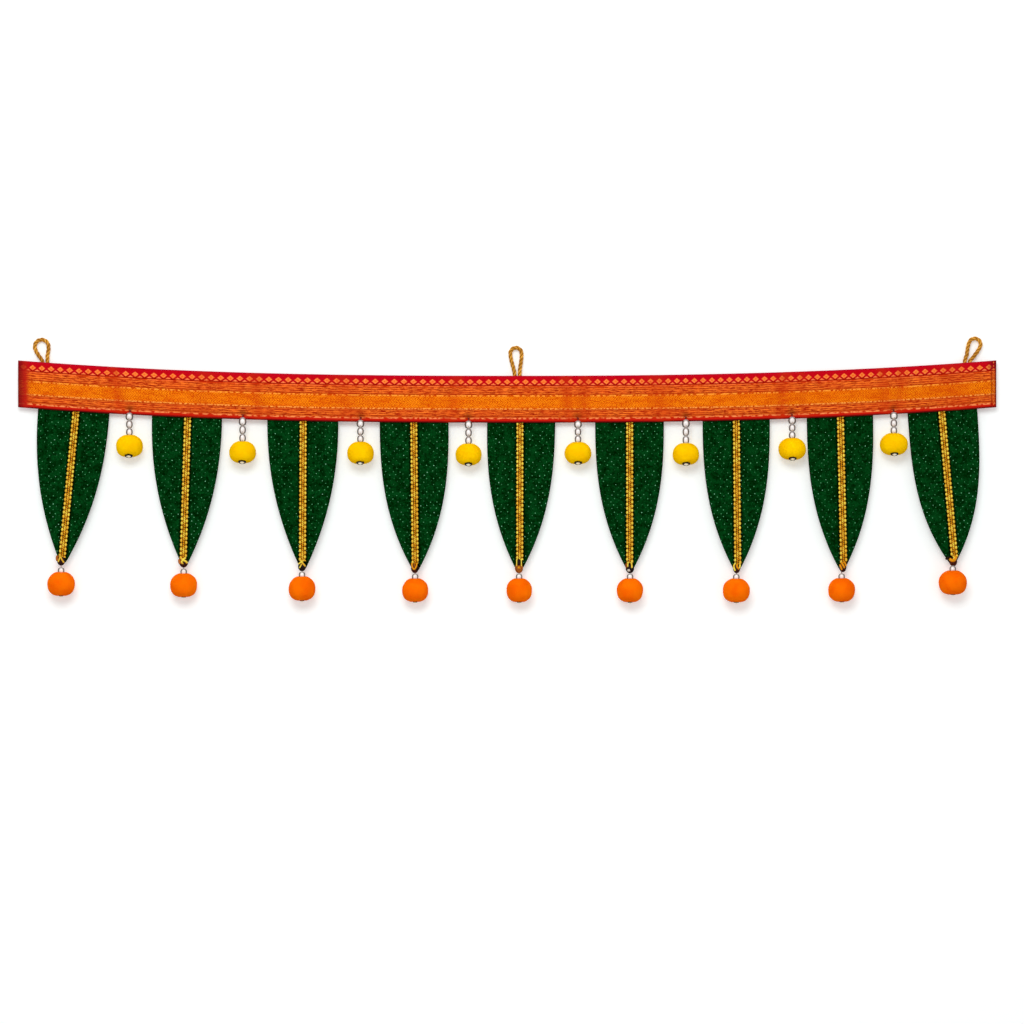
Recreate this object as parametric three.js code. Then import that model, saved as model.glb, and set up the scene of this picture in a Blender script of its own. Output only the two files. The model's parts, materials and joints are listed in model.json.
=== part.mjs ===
// A toran: a bowed woven band that carries leaf panels with braid ribs, strings of pearls and pompoms,
// and three loops of twisted cord along its top edge.
// Millimetres. +X runs along the band, +Z is up and the front faces -Y.
// The origin is the middle of the band's top edge, half way through the cloth.
import * as THREE from 'three';
import { mergeVertices } from 'three/addons/utils/BufferGeometryUtils.js';

// Sewn and threaded pieces stay this far apart.
const GAP = 0.3;

// The ends of the band hang higher than its middle, and the cloth stands slightly out of flat.
const BAND = {
  length: 965,
  height: 46.3,
  thickness: 1.6,
  rise: 15.2,
  bowPower: 2.5,
  wave: 0.8,
  waveLengths: [610, 355],
  columns: 48,
  rows: 3,
};

// A leaf keeps its width at the band and tapers in a long curve. Its top is tucked behind the band.
const LEAF = {
  thickness: 1.2,
  tuck: 12,
  taperDepth: 0.94,
  tipHalfWidth: 2.6,
  clothShort: 2,
  ribHalfWidth: 4.6,
  columns: 5,
  rows: 12,
};

// The braid lies along the middle of a leaf and ends in a folded knot over the tip.
const BRAID = { halfWidth: 4, thickness: 1.2, tuck: 10, straightRows: 9 };
const KNOT = [
  { fromTip: -9, halfWidth: 4.3, thickness: 2.4 },
  { fromTip: -6, halfWidth: 5.0, thickness: 3.4 },
  { fromTip: -2.5, halfWidth: 4.9, thickness: 3.4 },
  { fromTip: 0.8, halfWidth: 3.3, thickness: 2.2 },
];
const KNOT_MIDDLE = 1.7;

// x and width at the band's lower edge, length from there to the tip, lean towards +X in degrees, taper as
// the power of the outline's curve, forward for how far the tip stands out. ribTop and ribTip are how far
// the hand-sewn braid lies from the leaf's middle. swing is the same for the string under the tip, and drop
// runs from the tip to the middle of its pompom.
const LEAF_COLUMNS = ['x', 'width', 'length', 'lean', 'taper', 'forward', 'ribTop', 'ribTip', 'swing',
  'drop', 'wide', 'tall'];
const LEAVES = [
  [-427.8, 70.6, 151.2, -4.2, 2.25, 1.2, 2.2, -0.9, -1.1, 19.3, 27.0, 24.4],
  [-316.0, 69.4, 146.7, -1.1, 2.2, -0.6, 0.7, -1.2, -0.4, 18.7, 26.6, 24.2],
  [-201.6, 70.2, 146.8, 0.1, 2.15, 0.9, 0.4, -0.6, -0.9, 18.2, 26.2, 24.8],
  [-91.8, 68.0, 147.2, 0.6, 2.6, -1.0, -0.3, -0.4, -0.5, 18.0, 25.8, 24.2],
  [13.9, 67.2, 147.0, -0.8, 2.5, 0.6, -1.2, 0.6, 0.0, 18.0, 25.2, 24.4],
  [120.8, 67.8, 147.5, 0.2, 2.55, -0.4, 0.2, -0.3, 0.0, 18.1, 26.0, 24.4],
  [226.1, 66.4, 149.3, 0.3, 2.6, 1.1, 0.2, 0.8, -0.8, 18.2, 26.6, 24.3],
  [328.5, 65.6, 151.8, 0.9, 2.65, -0.8, 0.5, 1.6, -0.7, 18.8, 26.2, 24.2],
  [429.6, 68.8, 151.9, 3.9, 3.0, 0.7, -0.7, 2.1, -0.4, 17.2, 27.8, 24.6],
].map((row) => Object.fromEntries(LEAF_COLUMNS.map((column, i) => [column, row[i]])));

// The yellow pompoms hang between the leaves. drop runs from the band's lower edge to their middle.
const YELLOWS = [
  { x: -372.1, drop: 30.8, wide: 26.4, tall: 22.5 },
  { x: -260.5, drop: 32.2, wide: 26.2, tall: 22.3 },
  { x: -144.4, drop: 30.4, wide: 26.4, tall: 22.6 },
  { x: -38.0, drop: 31.2, wide: 25.6, tall: 22.2 },
  { x: 69.8, drop: 29.9, wide: 26.4, tall: 22.4 },
  { x: 176.1, drop: 32.0, wide: 26.2, tall: 22.2 },
  { x: 280.8, drop: 29.6, wide: 26.8, tall: 22.2 },
  { x: 380.9, drop: 29.5, wide: 27.2, tall: 22.4 },
];

const THREAD = 0.6;
const BORE = 0.95;
const STRING_SIDES = 6;
const POMPOM_SIDES = 10;
const POMPOM_ROUNDNESS = 2.25;
const POMPOM_LUMP = 0.022;

// The pearls above a yellow pompom, from the band down, and the bead under it.
const YELLOW_STRING = {
  firstBelowEdge: 2.4,
  firstRadius: 3.9,
  middleRadius: 3.4,
  lastRadius: 3.3,
  lastAboveBall: 1.9,
  stitchAboveEdge: 4.6,
  forward: 4.4,
  bead: { radius: 3.9, half: 1.9, sunk: 0.9 },
};
const ORANGE_STRING = {
  pearlRadius: 3.35,
  pearlAboveBall: 0.2,
  bead: { radius: 2.5, half: 1.2, sunk: 0.7 },
};

// Loops of twisted cord. x at the band's top edge, height and width outside, lean towards +X in degrees.
const CORD = {
  radius: 1.75,
  legSpacing: 4.9,
  tuck: 9,
  twist: 9,
  strands: 2,
  relief: 0.1,
  sides: 8,
  steps: 54,
};
const LOOPS = [
  { name: 'loop_left', x: -456.5, height: 24.6, width: 17.0, lean: -11.5 },
  { name: 'loop_middle', x: 10.0, height: 29.6, width: 14.6, lean: -3.3 },
  { name: 'loop_right', x: 454.3, height: 27.0, width: 15.0, lean: 22.3 },
];

const cloth = (color, roughness) => new THREE.MeshStandardMaterial({ color, roughness, metalness: 0 });
const MATERIALS = {
  band: cloth(0xd9541a, 0.55),
  leaf: cloth(0x0b3d1c, 0.8),
  braid: cloth(0xe0a32a, 0.45),
  cord: cloth(0xc98b2b, 0.6),
  yellow: cloth(0xfdc60a, 0.9),
  orange: cloth(0xff7a0c, 0.9),
  pearl: new THREE.MeshStandardMaterial({ color: 0xe8e4de, roughness: 0.15, metalness: 0.1 }),
};

const radians = THREE.MathUtils.degToRad;

// Height of the band's top edge over its middle.
const bow = (x) => BAND.rise * Math.abs((2 * x) / BAND.length) ** BAND.bowPower;

// How far the hanging cloth stands back from a flat plane.
function sway(x) {
  const [long, short] = BAND.waveLengths;
  return BAND.wave * (0.6 * Math.sin((2 * Math.PI * x) / long) + 0.4 * Math.cos((2 * Math.PI * x) / short));
}

const lowerEdge = (x) => bow(x) - BAND.height;
const bandBack = BAND.thickness / 2;
const leafEdgeFront = bandBack + GAP;
const leafRibFront = bandBack + GAP + BRAID.thickness + GAP;

function signedVolume(geometry) {
  const place = geometry.attributes.position;
  const index = geometry.index;
  const a = new THREE.Vector3();
  const b = new THREE.Vector3();
  const c = new THREE.Vector3();
  let volume = 0;
  for (let i = 0; i < index.count; i += 3) {
    a.fromBufferAttribute(place, index.getX(i));
    b.fromBufferAttribute(place, index.getX(i + 1));
    c.fromBufferAttribute(place, index.getX(i + 2));
    volume += a.dot(b.cross(c)) / 6;
  }
  return volume;
}

// Merges a geometry's seams, moves each vertex with move(vertex) and turns its faces outwards.
function shaped(source, move) {
  source.deleteAttribute('normal');
  source.deleteAttribute('uv');
  const geometry = mergeVertices(source, 1e-4);
  const place = geometry.attributes.position;
  const vertex = new THREE.Vector3();
  for (let i = 0; i < place.count; i += 1) {
    vertex.fromBufferAttribute(place, i);
    move(vertex);
    place.setXYZ(i, vertex.x, vertex.y, vertex.z);
  }
  if (signedVolume(geometry) < 0) {
    const order = geometry.index.array;
    for (let i = 0; i < order.length; i += 3) {
      [order[i + 1], order[i + 2]] = [order[i + 2], order[i + 1]];
    }
  }
  geometry.computeVertexNormals();
  return geometry;
}

const group = new THREE.Group();

function addMesh(name, geometry, material) {
  const mesh = new THREE.Mesh(geometry, material);
  mesh.name = name;
  group.add(mesh);
}

// The band: a thin box whose columns follow the bow and the sway.
function bandGeometry() {
  const box = new THREE.BoxGeometry(BAND.length, BAND.thickness, BAND.height, BAND.columns, 1, BAND.rows);
  return shaped(box, (vertex) => {
    vertex.z += bow(vertex.x) - BAND.height / 2;
    vertex.y += sway(vertex.x);
  });
}

// A place on a leaf: across and along its middle line from the band's lower edge, depth from the sway.
function onLeaf(leaf, across, along, depth) {
  const lean = radians(leaf.lean);
  const x = leaf.x + across * Math.cos(lean) + along * Math.sin(lean);
  const z = lowerEdge(leaf.x) + across * Math.sin(lean) - along * Math.cos(lean);
  const bend = leaf.forward * (Math.max(0, along) / leaf.length) ** 2;
  return new THREE.Vector3(x, sway(x) + depth - bend, z);
}

function leafHalfWidth(leaf, along) {
  const share = THREE.MathUtils.clamp(along / leaf.length, 0, 1);
  return Math.max(LEAF.tipHalfWidth, (leaf.width / 2) * (1 - LEAF.taperDepth * share ** leaf.taper));
}

// A leaf: its middle lies flat behind the braid and its sides come forward to the band.
function leafGeometry(leaf) {
  const box = new THREE.BoxGeometry(2, 1, 1, LEAF.columns, 1, LEAF.rows);
  const reach = LEAF.tuck + leaf.length - LEAF.clothShort;
  const rib = 1 / LEAF.columns;
  return shaped(box, (vertex) => {
    const along = (0.5 - vertex.z) * reach - LEAF.tuck;
    const half = leafHalfWidth(leaf, along);
    const flat = Math.min(LEAF.ribHalfWidth, 0.7 * half);
    const side = Math.abs(vertex.x);
    const outward = Math.max(0, (side - rib) / (1 - rib));
    const across = side > rib ? flat + (half - flat) * outward : flat * (side / rib);
    const cup = (leafRibFront - leafEdgeFront) * ((across - flat) / (leaf.width / 2 - flat));
    const through = vertex.y > 0 ? LEAF.thickness : 0;
    const depth = leafRibFront - Math.max(0, cup) + through;
    vertex.copy(onLeaf(leaf, Math.sign(vertex.x) * across, along, depth));
  });
}

// The rows of a braid, from its tucked top to the end of its knot.
function braidRows(leaf) {
  const straight = leaf.length - 10.5 + BRAID.tuck;
  const rows = [];
  for (let i = 0; i <= BRAID.straightRows; i += 1) {
    const along = (straight * i) / BRAID.straightRows - BRAID.tuck;
    rows.push({ along, halfWidth: BRAID.halfWidth, thickness: BRAID.thickness });
  }
  for (const { fromTip, halfWidth, thickness } of KNOT) {
    rows.push({ along: leaf.length + fromTip, halfWidth, thickness });
  }
  return rows;
}

// How far the braid lies from the leaf's middle at a place along it.
function ribOffset(leaf, along) {
  return THREE.MathUtils.lerp(leaf.ribTop, leaf.ribTip, THREE.MathUtils.clamp(along / leaf.length, 0, 1));
}

// A braid: a strip with a flat back and a crowned front.
function braidGeometry(leaf) {
  const rows = braidRows(leaf);
  const box = new THREE.BoxGeometry(2, 1, 1, 3, 1, rows.length - 1);
  return shaped(box, (vertex) => {
    const row = rows[Math.round((0.5 - vertex.z) * (rows.length - 1))];
    const front = vertex.y < 0;
    const rim = Math.abs(vertex.x) > 0.9;
    const frontShare = rim ? 1 : 0.55;
    const backShare = rim ? 0.85 : 0.3;
    const across = Math.sign(vertex.x) * row.halfWidth * (front ? frontShare : backShare);
    const frontRise = rim ? 0.5 : 1;
    const depth = leafRibFront - GAP - (front ? frontRise * row.thickness : 0);
    vertex.copy(onLeaf(leaf, ribOffset(leaf, row.along) + across, row.along, depth));
  });
}

// Rounds that follow a circle of the given radius around height middle, from one angle to another.
function arc(radius, middle, from, to, count) {
  const points = [];
  for (let i = 0; i < count; i += 1) {
    const angle = from + ((to - from) * i) / (count - 1);
    points.push(new THREE.Vector2(radius * Math.cos(angle), middle + radius * Math.sin(angle)));
  }
  return points;
}

// A thread with pearls on it and a flat bead at its lower end, as a profile that starts and ends on the
// axis.
function stringProfile(pearls, bead, top) {
  const points = [new THREE.Vector2(0, bead.middle - bead.half)];
  points.push(new THREE.Vector2(0.8 * bead.radius, bead.middle - 0.55 * bead.half));
  points.push(new THREE.Vector2(bead.radius, bead.middle));
  points.push(new THREE.Vector2(0.8 * bead.radius, bead.middle + 0.55 * bead.half));
  points.push(new THREE.Vector2(THREAD, bead.middle + bead.half));
  for (const pearl of pearls) {
    const open = Math.acos(THREAD / pearl.radius);
    points.push(...arc(pearl.radius, pearl.middle, -open, open, 5));
  }
  points.push(new THREE.Vector2(THREAD, top));
  points.push(new THREE.Vector2(0, top));
  return points;
}

// A pompom's closed profile: a round outline, a dimple for the pearl on it, one for the bead under it and
// a bore.
function pompomProfile(size, pearl, bead) {
  const halfWidth = size.wide / 2;
  const halfHeight = size.tall / 2;
  const spread = 1 / Math.cos(Math.PI / POMPOM_SIDES);
  const power = 2 / POMPOM_ROUNDNESS;
  const heightAt = (radius) => {
    const left = 1 - (radius / halfWidth) ** POMPOM_ROUNDNESS;
    return halfHeight * left ** (1 / POMPOM_ROUNDNESS);
  };
  const seat = pearl.radius + GAP;
  const pearlEdge = Math.sqrt(seat ** 2 - (pearl.middle - heightAt(pearl.radius)) ** 2) * spread;
  const beadEdge = (bead.radius + GAP) * spread;
  const points = [];
  points.push(new THREE.Vector2(BORE, bead.middle + bead.half + GAP));
  points.push(new THREE.Vector2(0.9 * beadEdge, bead.middle + 0.55 * bead.half + GAP));
  points.push(new THREE.Vector2(beadEdge, -heightAt(beadEdge)));
  const low = -Math.acos((beadEdge / halfWidth) ** (1 / power));
  const high = Math.acos((pearlEdge / halfWidth) ** (1 / power));
  for (let i = 1; i < 8; i += 1) {
    const angle = low + ((high - low) * i) / 8;
    const radius = halfWidth * Math.cos(angle) ** power;
    const height = halfHeight * Math.abs(Math.sin(angle)) ** power;
    points.push(new THREE.Vector2(radius, Math.sign(angle) * height));
  }
  points.push(new THREE.Vector2(pearlEdge, heightAt(pearlEdge)));
  points.push(new THREE.Vector2(0.7 * seat * spread, pearl.middle - 0.72 * seat));
  points.push(new THREE.Vector2(BORE, pearl.middle - seat));
  points.push(points[0].clone());
  return points;
}

function stringGeometry(profile, place, bendFrom, bendTo) {
  const lathe = new THREE.LatheGeometry(profile, STRING_SIDES);
  lathe.rotateX(Math.PI / 2);
  return shaped(lathe, (vertex) => {
    if (vertex.z > bendFrom) {
      vertex.y += bendTo;
    }
    vertex.add(place);
  });
}

// A pompom is wound and trimmed by hand, so it is a little lumpy, each in its own way.
function pompomGeometry(profile, size, place, number) {
  const lathe = new THREE.LatheGeometry(profile, POMPOM_SIDES);
  lathe.rotateX(Math.PI / 2);
  return shaped(lathe, (vertex) => {
    const radius = Math.hypot(vertex.x, vertex.y);
    const share = (2 * radius) / size.wide;
    const around = Math.atan2(vertex.y, vertex.x);
    const lump = Math.sin(2 * around + number) + 0.6 * Math.sin(3 * around + 1.7 * number + vertex.z / 4);
    const grow = 1 + POMPOM_LUMP * lump * share ** 2;
    vertex.x *= grow;
    vertex.y *= grow;
    vertex.add(place);
  });
}

// A loop's middle line: two legs that rise from behind the band and open into a half circle.
function loopPath(loop) {
  const radius = loop.width / 2 - CORD.radius;
  const middle = loop.height - CORD.radius - radius;
  const foot = CORD.legSpacing / 2;
  const leg = [new THREE.Vector2(foot, -CORD.tuck), new THREE.Vector2(foot, -CORD.tuck / 2)];
  for (const share of [0, 0.25, 0.5, 0.75]) {
    const open = Math.sin((Math.PI / 2) * share) ** 2;
    leg.push(new THREE.Vector2(foot + (radius - foot) * open, middle * share));
  }
  const crown = arc(radius, middle, 0, Math.PI, 7);
  const back = leg.map((point) => new THREE.Vector2(-point.x, point.y)).reverse();
  const lean = radians(loop.lean);
  const depth = sway(loop.x) + bandBack + GAP + CORD.radius;
  const points = [...leg, ...crown, ...back].map((point) => {
    const tilt = lean * THREE.MathUtils.clamp(point.y / 6, 0, 1);
    const x = loop.x + point.x * Math.cos(tilt) + point.y * Math.sin(tilt);
    const z = bow(loop.x) + point.y * Math.cos(tilt) - point.x * Math.sin(tilt);
    return new THREE.Vector3(x, depth, z);
  });
  return new THREE.CatmullRomCurve3(points, false, 'centripetal');
}

// A loop: a closed cylinder bent along its path, with the strands' twist raised on it.
function loopGeometry(loop) {
  const path = loopPath(loop);
  const turns = path.getLength() / CORD.twist;
  const source = new THREE.CylinderGeometry(1, 1, 1, CORD.sides, CORD.steps);
  return shaped(source, (vertex) => {
    const share = vertex.y + 0.5;
    const centre = path.getPointAt(share);
    const tangent = path.getTangentAt(share);
    const around = Math.atan2(vertex.z, vertex.x);
    const strand = Math.cos(CORD.strands * (around - 2 * Math.PI * turns * share));
    const radius = CORD.radius * (1 - CORD.relief + CORD.relief * strand) * Math.hypot(vertex.x, vertex.z);
    const inPlane = radius * Math.cos(around);
    vertex.set(
      centre.x - tangent.z * inPlane,
      centre.y + radius * Math.sin(around),
      centre.z + tangent.x * inPlane,
    );
  });
}

addMesh('band', bandGeometry(), MATERIALS.band);

for (const loop of LOOPS) {
  addMesh(loop.name, loopGeometry(loop), MATERIALS.cord);
}

LEAVES.forEach((leaf, i) => {
  const number = i + 1;
  addMesh(`leaf_${number}`, leafGeometry(leaf), MATERIALS.leaf);
  addMesh(`braid_${number}`, braidGeometry(leaf), MATERIALS.braid);

  const place = onLeaf(leaf, leaf.swing, leaf.length, leafRibFront - GAP - KNOT_MIDDLE);
  place.z -= leaf.drop;
  const ball = leaf.tall / 2;
  const pearl = { radius: ORANGE_STRING.pearlRadius, middle: ball + ORANGE_STRING.pearlAboveBall };
  const bead = { ...ORANGE_STRING.bead, middle: ORANGE_STRING.bead.sunk - ball };
  const top = leaf.drop - KNOT[KNOT.length - 1].fromTip - GAP;
  const string = stringGeometry(stringProfile([pearl], bead, top), place, top, 0);
  const pompom = pompomGeometry(pompomProfile(leaf, pearl, bead), leaf, place, number);
  addMesh(`orange_string_${number}`, string, MATERIALS.pearl);
  addMesh(`orange_pompom_${number}`, pompom, MATERIALS.orange);
});

YELLOWS.forEach((yellow, i) => {
  const number = i + 1;
  const depth = sway(yellow.x) - YELLOW_STRING.forward;
  const place = new THREE.Vector3(yellow.x, depth, lowerEdge(yellow.x) - yellow.drop);
  const ball = yellow.tall / 2;
  const first = { radius: YELLOW_STRING.firstRadius, middle: yellow.drop - YELLOW_STRING.firstBelowEdge };
  const last = { radius: YELLOW_STRING.lastRadius, middle: ball + YELLOW_STRING.lastAboveBall };
  const space = first.middle - first.radius - last.middle - last.radius;
  const middle = { radius: YELLOW_STRING.middleRadius, middle: last.middle + last.radius + space / 2 };
  const bead = { ...YELLOW_STRING.bead, middle: YELLOW_STRING.bead.sunk - ball };
  const stitch = yellow.drop + YELLOW_STRING.stitchAboveEdge;
  const toBand = YELLOW_STRING.forward - BAND.thickness / 2 - GAP - THREAD;
  const profile = stringProfile([last, middle, first], bead, stitch);
  const string = stringGeometry(profile, place, stitch - 0.1, toBand);
  const pompom = pompomGeometry(pompomProfile(yellow, last, bead), yellow, place, number + 0.5);
  addMesh(`yellow_string_${number}`, string, MATERIALS.pearl);
  addMesh(`yellow_pompom_${number}`, pompom, MATERIALS.yellow);
});

export default group;
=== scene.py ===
# %% [markdown]
# # A toran for a doorway
#
# A toran is the decorated band that hangs over a doorway. This one is a strip of red silk border woven
# with gold thread. Nine pointed green leaf panels hang from it, each with a gold braid for a rib and an
# orange pompom at its tip. Between the leaves hang strings of pearls with yellow pompoms, and three loops
# of twisted cord along the top edge go over nails.
#
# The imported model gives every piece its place. This script gives each piece its real surface: cloth,
# braid, cord, pearl and wool.

import bmesh
import bpy
import json
import math
import random
from mathutils import Matrix, Vector, noise

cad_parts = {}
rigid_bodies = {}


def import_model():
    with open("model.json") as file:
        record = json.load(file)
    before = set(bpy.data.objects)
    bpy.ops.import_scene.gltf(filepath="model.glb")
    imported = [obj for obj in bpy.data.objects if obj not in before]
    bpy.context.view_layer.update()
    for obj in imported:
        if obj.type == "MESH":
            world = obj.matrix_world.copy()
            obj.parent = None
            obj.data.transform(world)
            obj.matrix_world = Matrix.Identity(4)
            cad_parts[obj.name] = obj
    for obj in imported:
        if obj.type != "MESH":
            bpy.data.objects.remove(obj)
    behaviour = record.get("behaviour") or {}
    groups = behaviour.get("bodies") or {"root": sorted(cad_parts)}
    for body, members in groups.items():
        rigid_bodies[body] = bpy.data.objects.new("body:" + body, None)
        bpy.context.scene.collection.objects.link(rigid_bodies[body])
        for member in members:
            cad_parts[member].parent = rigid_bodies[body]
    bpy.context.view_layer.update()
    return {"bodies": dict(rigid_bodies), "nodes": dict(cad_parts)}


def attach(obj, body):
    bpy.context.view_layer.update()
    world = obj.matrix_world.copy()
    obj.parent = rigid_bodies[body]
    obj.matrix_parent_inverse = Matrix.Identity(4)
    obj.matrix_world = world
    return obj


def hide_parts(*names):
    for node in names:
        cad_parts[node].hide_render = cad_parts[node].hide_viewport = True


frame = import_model()
BODY = next(iter(frame["bodies"]))
print("pieces in the model:", len(frame["nodes"]))

# %% [markdown]
# ## Sizes
#
# A sewn piece is cut from a few sizes, so this script also starts from them. They are the maker's sizes
# in millimetres, and MM turns them into Blender's metres at the moment when a mesh is made. The tables
# have a row for each leaf and each string, because hand work is never quite even.

# %% Sizes of the band, the leaves and the strings
MM = 0.001
GAP = 0.3

BAND = {"length": 965.0, "height": 46.3, "thickness": 1.6, "rise": 15.2, "power": 2.5}
BAND_WAVE = {"depth": 0.8, "long": 610.0, "short": 355.0}
LEAF = {"thickness": 1.2, "tuck": 12.0, "taper_depth": 0.94, "tip": 2.6, "short": 2.0, "rib": 4.6}
BRAID = {"thickness": 1.2, "tuck": 10.0, "pitch": 4.2, "pressed": 0.65}
KNOT_MIDDLE = 1.7

LEAF_COLUMNS = ("x", "width", "length", "lean", "taper", "forward", "rib_top", "rib_tip", "swing", "drop",
                "wide", "tall")
LEAF_ROWS = [
    (-427.8, 70.6, 151.2, -4.2, 2.25, 1.2, 2.2, -0.9, -1.1, 19.3, 27.0, 24.4),
    (-316.0, 69.4, 146.7, -1.1, 2.2, -0.6, 0.7, -1.2, -0.4, 18.7, 26.6, 24.2),
    (-201.6, 70.2, 146.8, 0.1, 2.15, 0.9, 0.4, -0.6, -0.9, 18.2, 26.2, 24.8),
    (-91.8, 68.0, 147.2, 0.6, 2.6, -1.0, -0.3, -0.4, -0.5, 18.0, 25.8, 24.2),
    (13.9, 67.2, 147.0, -0.8, 2.5, 0.6, -1.2, 0.6, 0.0, 18.0, 25.2, 24.4),
    (120.8, 67.8, 147.5, 0.2, 2.55, -0.4, 0.2, -0.3, 0.0, 18.1, 26.0, 24.4),
    (226.1, 66.4, 149.3, 0.3, 2.6, 1.1, 0.2, 0.8, -0.8, 18.2, 26.6, 24.3),
    (328.5, 65.6, 151.8, 0.9, 2.65, -0.8, 0.5, 1.6, -0.7, 18.8, 26.2, 24.2),
    (429.6, 68.8, 151.9, 3.9, 3.0, 0.7, -0.7, 2.1, -0.4, 17.2, 27.8, 24.6),
]
LEAVES = [dict(zip(LEAF_COLUMNS, row)) for row in LEAF_ROWS]

YELLOW_COLUMNS = ("x", "drop", "wide", "tall")
YELLOW_ROWS = [
    (-372.1, 30.8, 26.4, 22.5),
    (-260.5, 32.2, 26.2, 22.3),
    (-144.4, 30.4, 26.4, 22.6),
    (-38.0, 31.2, 25.6, 22.2),
    (69.8, 29.9, 26.4, 22.4),
    (176.1, 32.0, 26.2, 22.2),
    (280.8, 29.6, 26.8, 22.2),
    (380.9, 29.5, 27.2, 22.4),
]
YELLOWS = [dict(zip(YELLOW_COLUMNS, row)) for row in YELLOW_ROWS]

LOOP_COLUMNS = ("name", "x", "height", "width", "lean")
LOOP_ROWS = [
    ("left", -456.5, 24.6, 17.0, -11.5),
    ("middle", 10.0, 29.6, 14.6, -3.3),
    ("right", 454.3, 27.0, 15.0, 22.3),
]
LOOPS = [dict(zip(LOOP_COLUMNS, row)) for row in LOOP_ROWS]
CORD = {"radius": 1.75, "legs": 4.9, "tuck": 9.0}
print("leaves, yellow strings, loops:", len(LEAVES), len(YELLOWS), len(LOOPS))

# %% [markdown]
# ## Camera
#
# The hanging is seen straight from the front with a long lens, from nearly three metres away, so that its
# ends show no perspective. The camera comes first because everything after it is judged through it.

# %% The camera
CAMERA_AT = (0.00483, -2.806, -0.1344)
LENS_MM = 100
SENSOR_MM = 36

camera_data = bpy.data.cameras.new("camera")
camera_data.lens = LENS_MM
camera_data.sensor_width = SENSOR_MM
camera = bpy.data.objects.new("camera", camera_data)
camera.location = CAMERA_AT
camera.rotation_euler = (math.radians(90), 0, 0)
bpy.context.scene.collection.objects.link(camera)
bpy.context.scene.camera = camera
print("the picture is", round(-CAMERA_AT[1] * SENSOR_MM / LENS_MM, 3), "m wide at the hanging")

# %% [markdown]
# ## Where things lie
#
# The band hangs in a shallow bow, and its cloth is slightly out of flat. Two small functions say so, and
# all that is sewn to the band asks them for its place. That keeps every seam closed when a size changes.


# %% The bow, the sway and a leaf's own grid
def bow(x):
    """Height of the band's top edge over its middle."""
    return BAND["rise"] * abs(2 * x / BAND["length"]) ** BAND["power"]


def sway(x):
    """How far the hanging cloth stands back from a flat plane."""
    long = math.sin(2 * math.pi * x / BAND_WAVE["long"])
    short = math.cos(2 * math.pi * x / BAND_WAVE["short"])
    return BAND_WAVE["depth"] * (0.6 * long + 0.4 * short)


def lower_edge(x):
    return bow(x) - BAND["height"]


EDGE_FRONT = BAND["thickness"] / 2 + GAP
RIB_FRONT = EDGE_FRONT + BRAID["thickness"] + GAP


def on_leaf(leaf, across, along, depth):
    """A place on a leaf, measured from the band's lower edge along the leaf's middle."""
    lean = math.radians(leaf["lean"])
    x = leaf["x"] + across * math.cos(lean) + along * math.sin(lean)
    z = lower_edge(leaf["x"]) + across * math.sin(lean) - along * math.cos(lean)
    bend = leaf["forward"] * (max(0.0, along) / leaf["length"]) ** 2
    return Vector((x, sway(x) + depth - bend, z))


def rib_offset(leaf, along):
    """How far the braid was sewn to one side of the leaf's middle."""
    share = min(max(along / leaf["length"], 0.0), 1.0)
    return leaf["rib_top"] + (leaf["rib_tip"] - leaf["rib_top"]) * share


print("ends hang higher by", bow(BAND["length"] / 2), "mm")


# %% [markdown]
# ## Helpers for meshes
#
# Most pieces here are either a closed sheet or a turned form, so two functions make them all. A sheet is
# two grids, front and back, joined by a rounded edge. A turned form is a profile that is turned round an
# upright axis. Both keep their object at the origin, with the place in the mesh.


# %% Mesh helpers
def new_piece(name, points, faces, material=None, uv=None, values=None):
    """A mesh object from points in millimetres. uv is one pair for each point."""
    mesh = bpy.data.meshes.new(name)
    mesh.from_pydata([Vector(p) * MM for p in points], [], faces)
    form = bmesh.new()
    form.from_mesh(mesh)
    bmesh.ops.recalc_face_normals(form, faces=form.faces)
    form.to_mesh(mesh)
    form.free()
    mesh.polygons.foreach_set("use_smooth", [True] * len(mesh.polygons))
    if uv:
        layer = mesh.uv_layers.new(name="cloth")
        for loop in mesh.loops:
            layer.data[loop.index].uv = uv[loop.vertex_index]
    for label, numbers in (values or {}).items():
        mesh.attributes.new(label, "FLOAT", "POINT").data.foreach_set("value", numbers)
    piece = bpy.data.objects.new(name, mesh)
    bpy.context.scene.collection.objects.link(piece)
    if material:
        mesh.materials.append(material)
    return piece


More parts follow.
